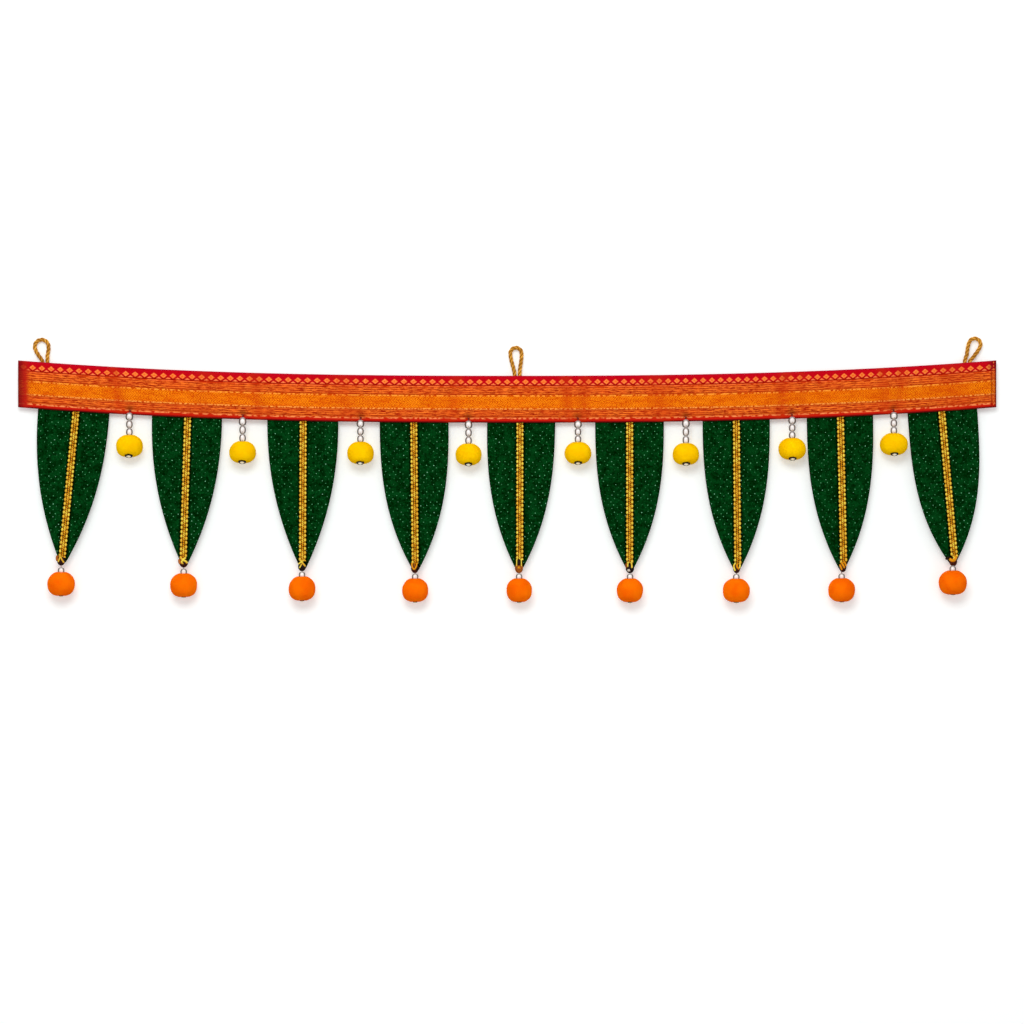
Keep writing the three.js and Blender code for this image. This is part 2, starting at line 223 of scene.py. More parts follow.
def sheet_piece(name, columns, rows, place, uv, material, round_edge=0.35, value=None):
    """A closed sheet. place(across, down, side) takes shares from 0 to 1, with side 0 at the front."""
    grids = []
    for side in (0, 1):
        grid = [[place(i / columns, j / rows, side) for i in range(columns + 1)] for j in range(rows + 1)]
        grids.append(grid)
    rim = [(i, 0) for i in range(columns)] + [(columns, j) for j in range(rows)]
    rim += [(i, rows) for i in range(columns, 0, -1)] + [(0, j) for j in range(rows, 0, -1)]
    middle = [(grids[0][j][i] + grids[1][j][i]) / 2 for i, j in rim]
    for grid in grids:
        for i, j in rim:
            inner_i = min(max(i, 1), columns - 1)
            inner_j = min(max(j, 1), rows - 1)
            inward = grid[inner_j][inner_i] - grid[j][i]
            grid[j][i] = grid[j][i] + inward.normalized() * min(round_edge, inward.length * 0.45)
    points = [p for grid in grids for row in grid for p in row] + middle
    stride = columns + 1
    back = stride * (rows + 1)
    faces = []
    for j in range(rows):
        for i in range(columns):
            a = j * stride + i
            faces.append((a, a + stride, a + stride + 1, a + 1))
            faces.append((back + a, back + a + 1, back + a + stride + 1, back + a + stride))
    for k, (i, j) in enumerate(rim):
        next_i, next_j = rim[(k + 1) % len(rim)]
        here = j * stride + i
        there = next_j * stride + next_i
        mid_here = 2 * back + k
        mid_there = 2 * back + (k + 1) % len(rim)
        faces.append((here, there, mid_there, mid_here))
        faces.append((mid_here, mid_there, back + there, back + here))
    shares = []
    for side in (0, 1):
        for j in range(rows + 1):
            shares += [(i / columns, j / rows, side) for i in range(stride)]
    shares += [(i / columns, j / rows, 0) for i, j in rim]
    values = {label: [rule(*share) for share in shares] for label, rule in (value or {}).items()}
    return new_piece(name, points, faces, material, [uv(*share) for share in shares], values)


def turned_form(profile, sides):
    """Points and faces of a profile of (radius, height) turned round Z. A radius of 0 closes it."""
    points = []
    rings = []
    for radius, height in profile:
        if radius == 0:
            rings.append([len(points)])
            points.append(Vector((0, 0, height)))
        else:
            rings.append([len(points) + k for k in range(sides)])
            for k in range(sides):
                turn = 2 * math.pi * k / sides
                points.append(Vector((radius * math.cos(turn), radius * math.sin(turn), height)))
    faces = []
    for low, high in zip(rings, rings[1:]):
        for k in range(sides):
            n = (k + 1) % sides
            corners = [low[k % len(low)], low[n % len(low)], high[n % len(high)], high[k % len(high)]]
            faces.append(tuple(dict.fromkeys(corners)))
    return points, faces


def joined(name, pieces):
    """One object of several, with their materials and maps kept."""
    with bpy.context.temp_override(active_object=pieces[0], selected_editable_objects=pieces):
        bpy.ops.object.join()
    pieces[0].name = name
    pieces[0].data.name = name
    return pieces[0]


print("mesh helpers are ready")

# %% [markdown]
# ## Node sums written as sums
#
# Shaders and Geometry Nodes both need arithmetic. A small class wraps an output socket so that a sum in
# Python adds the Math nodes. One method makes any other node: its settings first, then its sockets.


# %% The node helper
class Value:
    """An output socket that can stand in a sum like a number."""

    def __init__(self, graph, socket):
        self.graph = graph
        self.socket = socket

    def __add__(self, other):
        return self.graph.math("ADD", self, other)

    def __radd__(self, other):
        return self.graph.math("ADD", other, self)

    def __sub__(self, other):
        return self.graph.math("SUBTRACT", self, other)

    def __rsub__(self, other):
        return self.graph.math("SUBTRACT", other, self)

    def __mul__(self, other):
        return self.graph.math("MULTIPLY", self, other)

    def __rmul__(self, other):
        return self.graph.math("MULTIPLY", other, self)

    def __truediv__(self, other):
        return self.graph.math("DIVIDE", self, other)

    def __pow__(self, other):
        return self.graph.math("POWER", self, other)

    def __lt__(self, other):
        return self.graph.math("LESS_THAN", self, other)

    def __gt__(self, other):
        return self.graph.math("GREATER_THAN", self, other)


class Graph:
    """A node tree, of a material or of Geometry Nodes, that is filled by calls."""

    def __init__(self, tree):
        self.tree = tree

    def join(self, value, socket):
        if isinstance(value, Value):
            self.tree.links.new(value.socket, socket)
        elif value is not None:
            socket.default_value = value

    def make(self, kind, settings=None, inputs=None):
        """Adds a node, with its settings first, and returns it."""
        made = self.tree.nodes.new(kind)
        for name, value in (settings or {}).items():
            setattr(made, name, value)
        for key, value in (inputs or {}).items():
            self.join(value, made.inputs[key])
        return made

    def node(self, kind, settings=None, inputs=None, output=0):
        return Value(self, self.make(kind, settings, inputs).outputs[output])

    def math(self, operation, *values):
        return self.node("ShaderNodeMath", {"operation": operation}, dict(enumerate(values)))

    def vector(self, operation, *values, output=0):
        return self.node("ShaderNodeVectorMath", {"operation": operation}, dict(enumerate(values)), output)

    def scaled(self, vector, factor):
        return self.node("ShaderNodeVectorMath", {"operation": "SCALE"}, {0: vector, "Scale": factor})

    def mix(self, factor, first, second):
        return self.node("ShaderNodeMix", {"data_type": "RGBA"}, {0: factor, 6: first, 7: second}, 2)

    def smooth(self, value, low, high):
        """0 below low, 1 above high and a soft step between them."""
        ends = {"Value": value, "From Min": low, "From Max": high}
        return self.node("ShaderNodeMapRange", {"interpolation_type": "SMOOTHSTEP"}, ends)

    def parts(self, vector):
        apart = self.make("ShaderNodeSeparateXYZ", inputs={0: vector})
        return [Value(self, apart.outputs[k]) for k in range(3)]

    def together(self, x, y, z=0.0):
        return self.node("ShaderNodeCombineXYZ", inputs={0: x, 1: y, 2: z})


print("node helper is ready")

# %% [markdown]
# ## Finishes
#
# Every finish is a material with its own weave, pile or gleam. Cloth patterns read the piece's own map,
# which is in millimetres, so a motif in the shader has the size that it has in the hand. Colours are
# written as they look on screen and turned into light values by one function.


# %% Material helpers
def paint(red, green, blue):
    """A colour as seen on screen, 0 to 255, as the light values that a shader wants."""
    def light(value):
        share = value / 255
        return share / 12.92 if share <= 0.04045 else ((share + 0.055) / 1.055) ** 2.4
    return (light(red), light(green), light(blue), 1.0)


def new_material(name):
    material = bpy.data.materials.new(name)
    material.use_nodes = True
    material.node_tree.nodes.clear()
    return material, Graph(material.node_tree)


def surface(graph, **sockets):
    """A Principled surface. Spaces in socket names are written as underscores."""
    inputs = {name.replace("_", " "): value for name, value in sockets.items()}
    shader = graph.node("ShaderNodeBsdfPrincipled", inputs=inputs)
    graph.make("ShaderNodeOutputMaterial", inputs={"Surface": shader})


def cloth_map(graph):
    """Across and along a cloth, in millimetres."""
    place = graph.node("ShaderNodeUVMap", {"uv_map": "cloth"})
    across, along, _ = graph.parts(place)
    return across, along


def grain(graph, place, scale, detail=2.0, rough=0.5):
    return graph.node("ShaderNodeTexNoise", inputs={"Vector": place, "Scale": scale, "Detail": detail,
                                                   "Roughness": rough})


def bump(graph, height, distance, strength=1.0):
    inputs = {"Strength": strength, "Distance": distance, "Height": height}
    return graph.node("ShaderNodeBump", inputs=inputs)


def object_place(graph):
    return graph.node("ShaderNodeTexCoord", output="Object")


print("a mid orange in light values:", [round(v, 3) for v in paint(240, 120, 40)])


# %% [markdown]
# ### The woven band
#
# The border is crimson silk, and its pattern is woven in with gold thread: a row of small diamonds with
# half diamonds under them, a group of fine lines, a broad gold stripe in a herringbone weave between two
# dashed lines, and fine lines again down to the plain red lower edge. Each zone is a mask along the
# height, so the whole pattern is a short list of heights. The gold thread catches light, so it is partly
# metallic and its roughness changes with the weave.


# %% The band's finish
DIAMOND = {"pitch": 9.1, "middle": 6.1, "half_width": 3.5, "half_height": 2.8}
HALF_DIAMOND = {"base": 9.3, "half_width": 2.9, "height": 2.0}
LINE_PITCH = 2.15
HATCH = {"pitch": 2.5, "start": 20.6, "fold": 3.0, "slant": 1.1}
DOTS = {"across": 1.3, "down": 1.5}
BACK_OF_BAND = 100.0

# Heights, in millimetres down from the top edge. A pair says where a zone or a soft step starts and ends.
TOP_RIM = (0.3, 1.5)
UNDER_DIAMONDS = (7.6, 9.2)
MOTIFS_END = 9.6
UPPER_LINES = (10.2, 18.9)
ZARI = (19.0, 33.6)
LOWER_LINES = (33.8, 41.3)
LINE_START = 10.46
HEM_STARTS = (42.9, 43.3)
HEM_SHADE = (43.7, 46.2)
CORNER_FADES = (6.0, 11.0)

# Lines that are painted darker at these heights, and the share of the darker colour
DULL_COLUMNS = ("top", "foot", "soft", "share")
DULL_ROWS = [
    (17.4, 18.9, 0.5, 0.3),
    (33.8, 35.0, 0.4, 0.4),
    (38.9, 41.0, 0.6, 0.4),
]

# Dashed lines: middle and half height, how wide a mark is, where the marks start, and two colours
DASH_COLUMNS = ("middle", "half", "wide", "start", "dull", "bright")
DASH_ROWS = [
    (10.9, 0.45, 6.0, 3.0, (206, 46, 4), (250, 110, 48)),
    (19.9, 0.65, 2.4, 17.0, (200, 62, 0), (255, 154, 50)),
    (32.8, 0.65, 2.4, 41.0, (196, 62, 2), (255, 160, 68)),
    (42.2, 0.75, 4.6, 67.0, (200, 44, 8), (255, 144, 80)),
]

# Places along the band, in millimetres from its middle
LEFT_FOLD = (-475.5, -469.5)
LEFT_FOLD_SHADE = (-481.5, -474.0)
RIGHT_SHADE = (477.0, 479.0)
RIGHT_LINE_STARTS = (476.6, 477.2)
RIGHT_LINE_ENDS = (477.8, 478.6)
RIGHT_CORNER = (471.0, 479.0)
RIGHT_RIM = (480.8, 481.8)


def band_finish():
    material, g = new_material("band_cloth")
    across, height = cloth_map(g)
    front = height < BACK_OF_BAND / 2
    x, _, _ = g.parts(object_place(g))
    x = x / MM
    turn = 2 * math.pi

    def between(low, high, soft=0.25):
        return g.smooth(height, low - soft, low + soft) * (1 - g.smooth(height, high - soft, high + soft))

    def marks(wide, tall, low=0.38, high=0.62, start=0.0):
        """Uneven marks of about wide by tall millimetres, from 0 to 1."""
        place = g.together(across / wide + start, height / tall)
        return g.smooth(grain(g, place, 1.0), low, high)

    patches = marks(26.0, 15.0)
    strong = marks(19.0, 6.0, 0.35, 0.6, 31.0)
    streaks = marks(7.0, 0.9, 0.34, 0.66, 57.0)
    specks = marks(1.6, 1.2, 0.3, 0.7, 83.0)
    clouds = marks(6.5, 4.0, 0.34, 0.66, 121.0)

    step = g.math("ABSOLUTE", g.math("FRACT", across / DIAMOND["pitch"] + 0.5) - 0.5) * DIAMOND["pitch"]
    rise = g.math("ABSOLUTE", height - DIAMOND["middle"]) / DIAMOND["half_height"]
    reach = step / DIAMOND["half_width"] + rise
    diamond = 1 - g.smooth(reach, 0.84, 1.02)
    heart = 1 - g.smooth(reach, 0.15, 0.5)
    half_step = (DIAMOND["pitch"] / 2 - step) / HALF_DIAMOND["half_width"]
    half_reach = half_step + (HALF_DIAMOND["base"] - height) / HALF_DIAMOND["height"]
    half_diamond = (1 - g.smooth(half_reach, 0.8, 1.05)) * (height < HALF_DIAMOND["base"])

    crimson = g.mix(specks, paint(188, 0, 14), paint(208, 6, 26))
    crimson = g.mix(g.smooth(height, *UNDER_DIAMONDS), crimson, paint(160, 8, 0))
    crimson = g.mix(1 - g.smooth(height, *TOP_RIM), crimson, paint(176, 6, 40))

    line = g.math("SINE", (height - LINE_START) * (turn / LINE_PITCH))
    lit = g.smooth(line * (0.35 + strong * 0.6) + (streaks - 0.5) * 2.0 + (specks - 0.5) * 0.8, -0.95, 0.95)
    lined = g.mix(lit, paint(156, 20, 0), paint(255, 126, 40))
    lined = g.mix(patches * 0.3, lined, paint(222, 66, 18))
    lined = g.mix(clouds * 0.3, lined, g.mix(strong, paint(188, 34, 4), paint(252, 104, 24)))
    for row in DULL_ROWS:
        dull = dict(zip(DULL_COLUMNS, row))
        zone = between(dull["top"], dull["foot"], dull["soft"])
        lined = g.mix(zone * dull["share"], lined, paint(156, 34, 0))
    line_zone = between(*UPPER_LINES) + between(*LOWER_LINES)

    slope = g.math("PINGPONG", height - HATCH["start"], HATCH["fold"])
    hatch = g.math("SINE", (across + slope * HATCH["slant"]) * (turn / HATCH["pitch"]))
    dots = g.math("SINE", across * (turn / DOTS["across"])) * g.math("SINE", height * (turn / DOTS["down"]))
    zari = g.smooth(hatch * (0.3 + strong * 0.7) + dots * 0.45 + (specks - 0.5) * 1.7, -1.05, 1.05)
    striped = g.mix(zari, paint(196, 62, 0), paint(255, 142, 8))
    striped = g.mix(patches * 0.4, striped, g.mix(specks, paint(206, 68, 0), paint(236, 96, 0)))
    striped = g.mix(clouds * 0.45, striped, g.mix(strong, paint(202, 64, 0), paint(252, 138, 14)))
    zari_zone = between(*ZARI)

    colour = g.mix(line_zone, crimson, lined)
    colour = g.mix(zari_zone, colour, striped)
    for row in DASH_ROWS:
        dash = dict(zip(DASH_COLUMNS, row))
        zone = between(dash["middle"] - dash["half"], dash["middle"] + dash["half"], 0.2)
        bright = marks(dash["wide"], 3.0, 0.42, 0.56, dash["start"])
        colour = g.mix(zone, colour, g.mix(bright, paint(*dash["dull"]), paint(*dash["bright"])))
    motif = g.math("MINIMUM", diamond + half_diamond, 1.0) * (height < MOTIFS_END)
    motif_colour = g.mix(specks, paint(240, 104, 34), paint(255, 146, 68))
    motif_colour = g.mix(heart * 0.7, motif_colour, paint(226, 84, 14))
    half_colour = g.mix(specks, paint(238, 100, 40), paint(255, 136, 84))
    motif_colour = g.mix(half_diamond, motif_colour, half_colour)
    colour = g.mix(motif, colour, motif_colour)
    # The hem is painted darker towards its bottom edge: painted shade where the folded edge turns under.
    hem = g.mix(g.smooth(height, *HEM_SHADE), paint(206, 26, 8), paint(118, 10, 14))
    colour = g.mix(g.smooth(height, *HEM_STARTS), colour, hem)

    fold = g.mix(g.smooth(x, *LEFT_FOLD_SHADE), paint(132, 10, 16), paint(186, 28, 18))
    left_end = (1 - g.smooth(x, *LEFT_FOLD)) * (0.85 + 0.15 * streaks)
    colour = g.mix(left_end, colour, fold)
    colour = g.mix(g.smooth(x, *RIGHT_SHADE) * 0.3, colour, paint(150, 30, 6))
    hem_line = g.smooth(x, *RIGHT_LINE_STARTS) * (1 - g.smooth(x, *RIGHT_LINE_ENDS))
    colour = g.mix(hem_line * 0.6, colour, paint(130, 22, 4))
    corner = g.smooth(x, *RIGHT_CORNER) * (1 - g.smooth(height, *CORNER_FADES))
    colour = g.mix(corner * 0.6, colour, paint(128, 4, 26))
    colour = g.mix(g.smooth(x, *RIGHT_RIM), colour, paint(112, 6, 14))
    # Painted shade where each string's stitch pulls the cloth in, just above the first pearl.
    pull = g.node("ShaderNodeAttribute", {"attribute_name": "pull"}, output="Fac")
    colour = g.mix(pull * 0.8, colour, paint(112, 40, 2))
    # Painted shade along the creases of the cloth.
    worn = g.node("ShaderNodeAttribute", {"attribute_name": "worn"}, output="Fac")
    colour = g.mix(worn * (0.4 + 0.45 * streaks), colour, paint(196, 46, 6))

    reverse = g.mix(specks, paint(150, 14, 26), paint(172, 22, 30))
    reverse = g.mix(g.smooth(line, 0.5, 1.0) * 0.35, reverse, paint(196, 92, 40))
    colour = g.mix(front, reverse, colour)

    gold = g.math("MINIMUM", line_zone * lit + zari_zone + motif, 1.0) * front
    relief = zari * zari_zone * 0.7 + lit * line_zone * 0.7 + motif * 0.4 + specks * 0.3
    surface(
        g,
        Base_Color=colour,
        Metallic=gold * 0.2,
        Roughness=0.6 - gold * 0.14,
        Normal=bump(g, relief, 0.0002, 0.7),
        Specular_IOR_Level=0.02,
    )
    return material


BAND_CLOTH = band_finish()
print("band finish nodes:", len(BAND_CLOTH.node_tree.nodes))


# %% [markdown]
# ### The leaf cloth
#
# The leaves are cut from a dark green cloth with a short pile. Pile leans this way and that, so the
# colour is blotchy at the scale of a fingertip. Tiny dots of glitter are printed on it in slanting rows.
# A Voronoi pattern with little randomness gives such rows, once its square cells are turned by forty-five
# degrees. The cut edge is darker. Right beside the braid the cloth is painted darker too: painted shade
# where the braid shadows it. The mesh carries the distances to the edge and to the braid as values.


# %% The leaf's finish
DOT_PITCH = 4.7
DIAGONAL = 1.414
BACK_OF_LEAF = 500.0
LEAF_MAPS_APART = 90
BRAID_SHADE = (3.8, 6.0)
CUT_EDGE = (0.0, 0.7)


def leaf_finish():
    material, g = new_material("leaf_cloth")
    across, along = cloth_map(g)
    flat = g.together(across, along)
    front = along < BACK_OF_LEAF / 2
    cell_side = DOT_PITCH * DIAGONAL
    turned = g.together((across + along) / cell_side, (along - across) / cell_side)
    cells = {"Vector": turned, "Scale": 1.0, "Randomness": 0.45}
    cell = g.make("ShaderNodeTexVoronoi", {"feature": "F1", "voronoi_dimensions": "2D"}, cells)
    distance = Value(g, cell.outputs["Distance"])
    chance, tone, _ = g.parts(Value(g, cell.outputs["Color"]))
    size = 0.055 + tone * 0.045
    dot = (1 - g.smooth(distance, size * 0.7, size * 1.3)) * (chance > 0.12) * front

    blotch = g.smooth(grain(g, flat, 0.12, 3.0, 0.65), 0.4, 0.62)
    mottle = g.smooth(grain(g, flat, 0.42, 2.0, 0.6), 0.34, 0.66)
    pile = g.smooth(grain(g, flat, 1.6, 2.0, 0.6), 0.3, 0.7)
    deep = g.mix(pile, paint(0, 14, 0), paint(0, 36, 2))
    bright = g.mix(pile, paint(0, 50, 10), paint(10, 82, 32))
    colour = g.mix(blotch * 0.55 + mottle * 0.45, deep, bright)
    rim = g.node("ShaderNodeAttribute", {"attribute_name": "rim"}, output="Fac")
    colour = g.mix(g.smooth(rim, *CUT_EDGE), paint(0, 22, 4), colour)
    # Painted shade on the cloth right beside the braid, where the braid shadows it.
    beside = g.node("ShaderNodeAttribute", {"attribute_name": "beside"}, output="Fac")
    shade = 1 - g.smooth(g.math("ABSOLUTE", beside), *BRAID_SHADE)
    colour = g.mix(shade * front * 0.9, colour, paint(6, 10, 0))
    sparkle = g.smooth(chance, 0.86, 0.94)
    glint = g.mix(sparkle, g.mix(tone, paint(44, 122, 66), paint(104, 192, 132)), paint(150, 226, 180))
    colour = g.mix(dot * 0.9, colour, glint)
    back = g.mix(pile, paint(4, 44, 20), paint(8, 60, 30))
    colour = g.mix(front, back, colour)
    surface(
        g,
        Base_Color=colour,
        Roughness=0.9 - dot * 0.5,
        Normal=bump(g, pile * 0.5 + mottle * 1.4 + dot, 0.0004, 0.6),
        Specular_IOR_Level=0.0,
    )
    return material


LEAF_CLOTH = leaf_finish()
print("leaf finish nodes:", len(LEAF_CLOTH.node_tree.nodes))


# %% [markdown]
# ### Braid, cord and thread
#
# The braid and the loops are twisted from shiny gold thread. The finish paints them brown deep between the
# strands, a painted shade, and pale yellow on the crowns, a painted highlight. Geometry Nodes store a value
# called crown on the strands for this, and the finish reads it.


# %% The finishes of braid, cord, thread and knots
def thread_finish(name, deep_paint, middle_paint, crown_paint, gleam):
    material, g = new_material(name)
    deep = paint(*deep_paint)
    place = object_place(g)
    crown = g.node("ShaderNodeAttribute", {"attribute_name": "crown"}, output="Fac")
    fine = g.smooth(grain(g, place, 1400.0, 2.0), 0.3, 0.7)
    slow = g.smooth(grain(g, place, 130.0, 2.0), 0.35, 0.65)
    # Painted shade where crown is low, in the grooves, and a painted highlight where crown is high.
    colour = g.mix(g.smooth(crown, 0.05, 0.5), deep, paint(*middle_paint))
    colour = g.mix(g.smooth(crown, 0.5, 0.95) * (0.35 + slow * 0.65), colour, paint(*crown_paint))
    colour = g.mix(fine * 0.2, colour, deep)
    surface(
        g,
        Base_Color=colour,
        Metallic=0.2,
        Roughness=0.52 - fine * 0.12,
        Normal=bump(g, fine, 0.00012, 0.7),
        Specular_IOR_Level=gleam,
    )
    return material


THREAD_ROWS = [
    ("gold_braid", (46, 18, 0), (236, 154, 10), (255, 232, 84), 0.1),
    ("gold_cord", (92, 46, 0), (166, 102, 16), (244, 176, 66), 0.1),
    ("maroon_tab", (22, 4, 2), (92, 30, 4), (214, 122, 34), 0.15),
    ("highlight_thread", (120, 100, 80), (190, 178, 160), (226, 220, 208), 0.5),
    ("red_thread", (90, 6, 10), (150, 14, 18), (196, 60, 30), 0.5),
    ("orange_thread", (150, 50, 6), (222, 104, 30), (255, 146, 66), 0.1),
]
THREADS = [thread_finish(*row) for row in THREAD_ROWS]
BRAID_GOLD, CORD_GOLD, KNOT_MAROON, HIGHLIGHT_THREAD, RED_THREAD, SEAM_ORANGE = THREADS
print("thread finishes:", [material.name for material in THREADS])


# %% [markdown]
# ### Pearls and end beads
#
# A moulded pearl is white plastic under a thin lustrous coat. Its flanks are painted dark grey-brown: a
# painted reflection that Layer Weight mixes in through a Mix Shader. A small dark spot low on its front is
# a painted reflection too. The end beads are aged brass, nearly black, and a value called knot on their
# mesh marks the knot in the middle, which is painted pale as a painted highlight.


# %% The finishes of pearls and end beads
REFLECTED_SPOT_WAY = (0.0, -0.93, -0.36)


def pearl_finish():
    material, g = new_material("pearl_bead")
    place = object_place(g)
    cloudy = g.smooth(grain(g, place, 260.0, 2.0), 0.3, 0.7)
    facing = g.node("ShaderNodeLayerWeight", inputs={"Blend": 0.5}, output="Facing")
    normal = g.node("ShaderNodeTexCoord", output="Normal")
    _, _, up = g.parts(normal)
    flank = 1 - g.smooth(g.math("ABSOLUTE", up), 0.5, 0.95) * 0.6
    # The dark flanks are a painted reflection, mixed in by Layer Weight.
    rim = g.smooth(facing, 0.09, 0.25) * flank
    # A small dark spot low on the front is a painted reflection.
    reflected_spot = 1 - g.smooth(g.vector("DISTANCE", normal, REFLECTED_SPOT_WAY, output=1), 0.1, 0.24)
    body_colour = g.mix(cloudy, paint(240, 233, 230), paint(252, 248, 246))
    milk = {
        "Base Color": g.mix(reflected_spot * 0.55, body_colour, paint(120, 92, 84)),
        "Roughness": 0.16 + cloudy * 0.06,
        "Coat Weight": 0.4,
        "Coat Roughness": 0.08,
    }
    flank_reflection = {
        "Base Color": g.mix(g.smooth(facing, 0.2, 0.42), paint(176, 158, 146), paint(40, 24, 16)),
        "Roughness": 0.3 + cloudy * 0.08,
        "Metallic": 0.4,
    }
    body = g.node("ShaderNodeBsdfPrincipled", inputs=milk)
    edge = g.node("ShaderNodeBsdfPrincipled", inputs=flank_reflection)
    both = g.node("ShaderNodeMixShader", inputs={0: rim * 0.95, 1: body, 2: edge})
    g.make("ShaderNodeOutputMaterial", inputs={"Surface": both})
    return material


def brass_finish():
    material, g = new_material("gold_bead")
    place = object_place(g)
    worn = g.smooth(grain(g, place, 420.0, 3.0), 0.35, 0.7)
    # The pale knot in the middle is a painted highlight.
    knot = g.node("ShaderNodeAttribute", {"attribute_name": "knot"}, output="Fac")
    knot = g.smooth(knot, 0.3, 0.7)
    aged = g.mix(worn, paint(10, 5, 1), paint(36, 18, 6))
    surface(
        g,
        Base_Color=g.mix(knot, aged, g.mix(worn, paint(255, 252, 232), paint(255, 224, 170))),
        Roughness=0.36 + worn * 0.14,
        Metallic=0.2 - knot * 0.1,
        Specular_IOR_Level=0.1,
    )
    return material


PEARL = pearl_finish()
BRASS = brass_finish()
print("bead finishes:", PEARL.name, BRASS.name)


# %% [markdown]
# ### Wool
#
# The pompoms are balls of wool, trimmed to a dense short pile. Most of their look is real geometry, the
# pile itself. The finish adds uneven dye, painted shade down between the fibres and painted light on their
# tips, which the pile carries as a value called tip. Light also goes into the pile and comes out again, and
# a faint glow, painted light, stands in for that.


# %% The wool finishes
def wool_finish(name, deep, middle, light):
    material, g = new_material(name)
    place = object_place(g)
    tip = g.node("ShaderNodeAttribute", {"attribute_name": "tip"}, output="Fac")
    dye = g.smooth(grain(g, place, 75.0, 2.0), 0.32, 0.68)
    fibre = g.smooth(grain(g, place, 900.0, 2.0), 0.3, 0.7)
    colour = g.mix(dye * 0.6 + fibre * 0.2, middle, deep)
    # Painted light on the fibre tips, painted shade at their foot between the fibres.
    colour = g.mix(tip * 0.7, colour, light)
    surface(
        g,
        Base_Color=colour,
        Roughness=0.92 - fibre * 0.08,
        Normal=bump(g, fibre, 0.0003, 0.5),
        Specular_IOR_Level=0.02,
        # The faint emission is painted light for light that comes back out of the pile.
        Emission_Color=colour,
        Emission_Strength=0.1,
    )
    return material


ORANGE_WOOL = wool_finish("orange_wool", paint(242, 94, 0), paint(255, 124, 2), paint(255, 152, 10))
YELLOW_WOOL = wool_finish("yellow_wool", paint(250, 194, 0), paint(255, 211, 0), paint(255, 222, 4))
print("wool finishes:", ORANGE_WOOL.name, YELLOW_WOOL.name)

# %% [markdown]
# ## Geometry Nodes
#
# Four small trees make all that repeats: a twisted rope, the loop-edged braid, the pile of a pompom, and
# a row of stitches. Each takes its sizes as named inputs, so one tree serves every copy. A path comes in
# as a mesh of edges, because a mesh goes through the modifier as a mesh.


# %% Helpers for Geometry Nodes
def new_tree(name, inputs):
    """A Geometry Nodes tree with named inputs, and the values that come in by them."""
    tree = bpy.data.node_groups.new(name, "GeometryNodeTree")
    tree.interface.new_socket("Geometry", in_out="INPUT", socket_type="NodeSocketGeometry")
    tree.interface.new_socket("Geometry", in_out="OUTPUT", socket_type="NodeSocketGeometry")
    for label, (kind, start) in inputs.items():
        socket = tree.interface.new_socket(label, in_out="INPUT", socket_type="NodeSocket" + kind)
        if start is not None:
            socket.default_value = start
    g = Graph(tree)
    entry = tree.nodes.new("NodeGroupInput")
    values = {socket.name: Value(g, socket) for socket in entry.outputs if socket.name}
    return g, values


def end_tree(g, geometry, material):
    """Realizes instances, sets the material and closes the tree."""
    real = g.node("GeometryNodeRealizeInstances", inputs={0: geometry})
    smooth = g.node("GeometryNodeSetShadeSmooth", inputs={0: real})
    dressed = g.node("GeometryNodeSetMaterial", inputs={"Geometry": smooth, "Material": material})
    g.make("NodeGroupOutput", inputs={0: dressed})
    return g.tree


def run_tree(piece, tree, settings):
    """Runs a tree on a piece and leaves a plain mesh, without the modifier."""
    modifier = piece.modifiers.new(tree.name, "NODES")
    modifier.node_group = tree
    for item in tree.interface.items_tree:
        if item.in_out == "INPUT" and item.name in settings:
            modifier[item.identifier] = settings[item.name]
    piece.update_tag()
    ready = piece.evaluated_get(bpy.context.evaluated_depsgraph_get())
    mesh = bpy.data.meshes.new_from_object(ready)
    mesh.name = piece.name
    piece.modifiers.remove(modifier)
    piece.data = mesh
    return piece


def path_piece(name, points):
    """A path in millimetres as a mesh of edges."""
    mesh = bpy.data.meshes.new(name)
    mesh.from_pydata([Vector(p) * MM for p in points], [(i, i + 1) for i in range(len(points) - 1)], [])
    piece = bpy.data.objects.new(name, mesh)
    bpy.context.scene.collection.objects.link(piece)
    return piece


def marked_with(g, geometry, name, value, kind="FLOAT"):
    """Stores a value on each point under a name."""
    settings = {"data_type": kind, "domain": "POINT"}
    inputs = {"Geometry": geometry, "Name": name, "Value": value}
    return g.node("GeometryNodeStoreNamedAttribute", settings, inputs)


def strand_along(g, curve, offset, radius, sides, step, crown=0.5):
    """A round strand beside a curve. What it needs is stored before it moves away from the curve."""
    fine = g.node("GeometryNodeResampleCurve", {"mode": "LENGTH"}, {"Curve": curve, "Length": step})
    fine = marked_with(g, fine, "crown", crown)
    fine = marked_with(g, fine, "reach", radius)
    fine = marked_with(g, fine, "spine", g.node("GeometryNodeInputPosition"), "FLOAT_VECTOR")
    moved = g.node("GeometryNodeSetPosition", inputs={"Geometry": fine, "Offset": offset})
    reach = g.node("GeometryNodeInputNamedAttribute", {"data_type": "FLOAT"}, {"Name": "reach"})
    ring = g.node("GeometryNodeCurvePrimitiveCircle", inputs={"Resolution": sides, "Radius": 1.0})
    inputs = {"Curve": moved, "Profile Curve": ring, "Scale": reach, "Fill Caps": True}
    return g.node("GeometryNodeCurveToMesh", inputs=inputs)


def gathered(g, parts):
    join = g.make("GeometryNodeJoinGeometry")
    for part in parts:
        g.tree.links.new(part.socket, join.inputs[0])
    return Value(g, join.outputs[0])


print("Geometry Nodes helpers are ready")


# %% [markdown]
# ### Twisted rope
#
# A cord is three strands that turn round a common middle. Each strand follows the path at a fixed
# distance, and its angle grows with the length that it has run. The curve's own normal and tangent give
# the plane. How far a point of a strand lies from the path says whether it is on a crown or down in a
# groove.


# %% The rope tree
ROPE_STRANDS = 3
ROPE_SIDES = 12


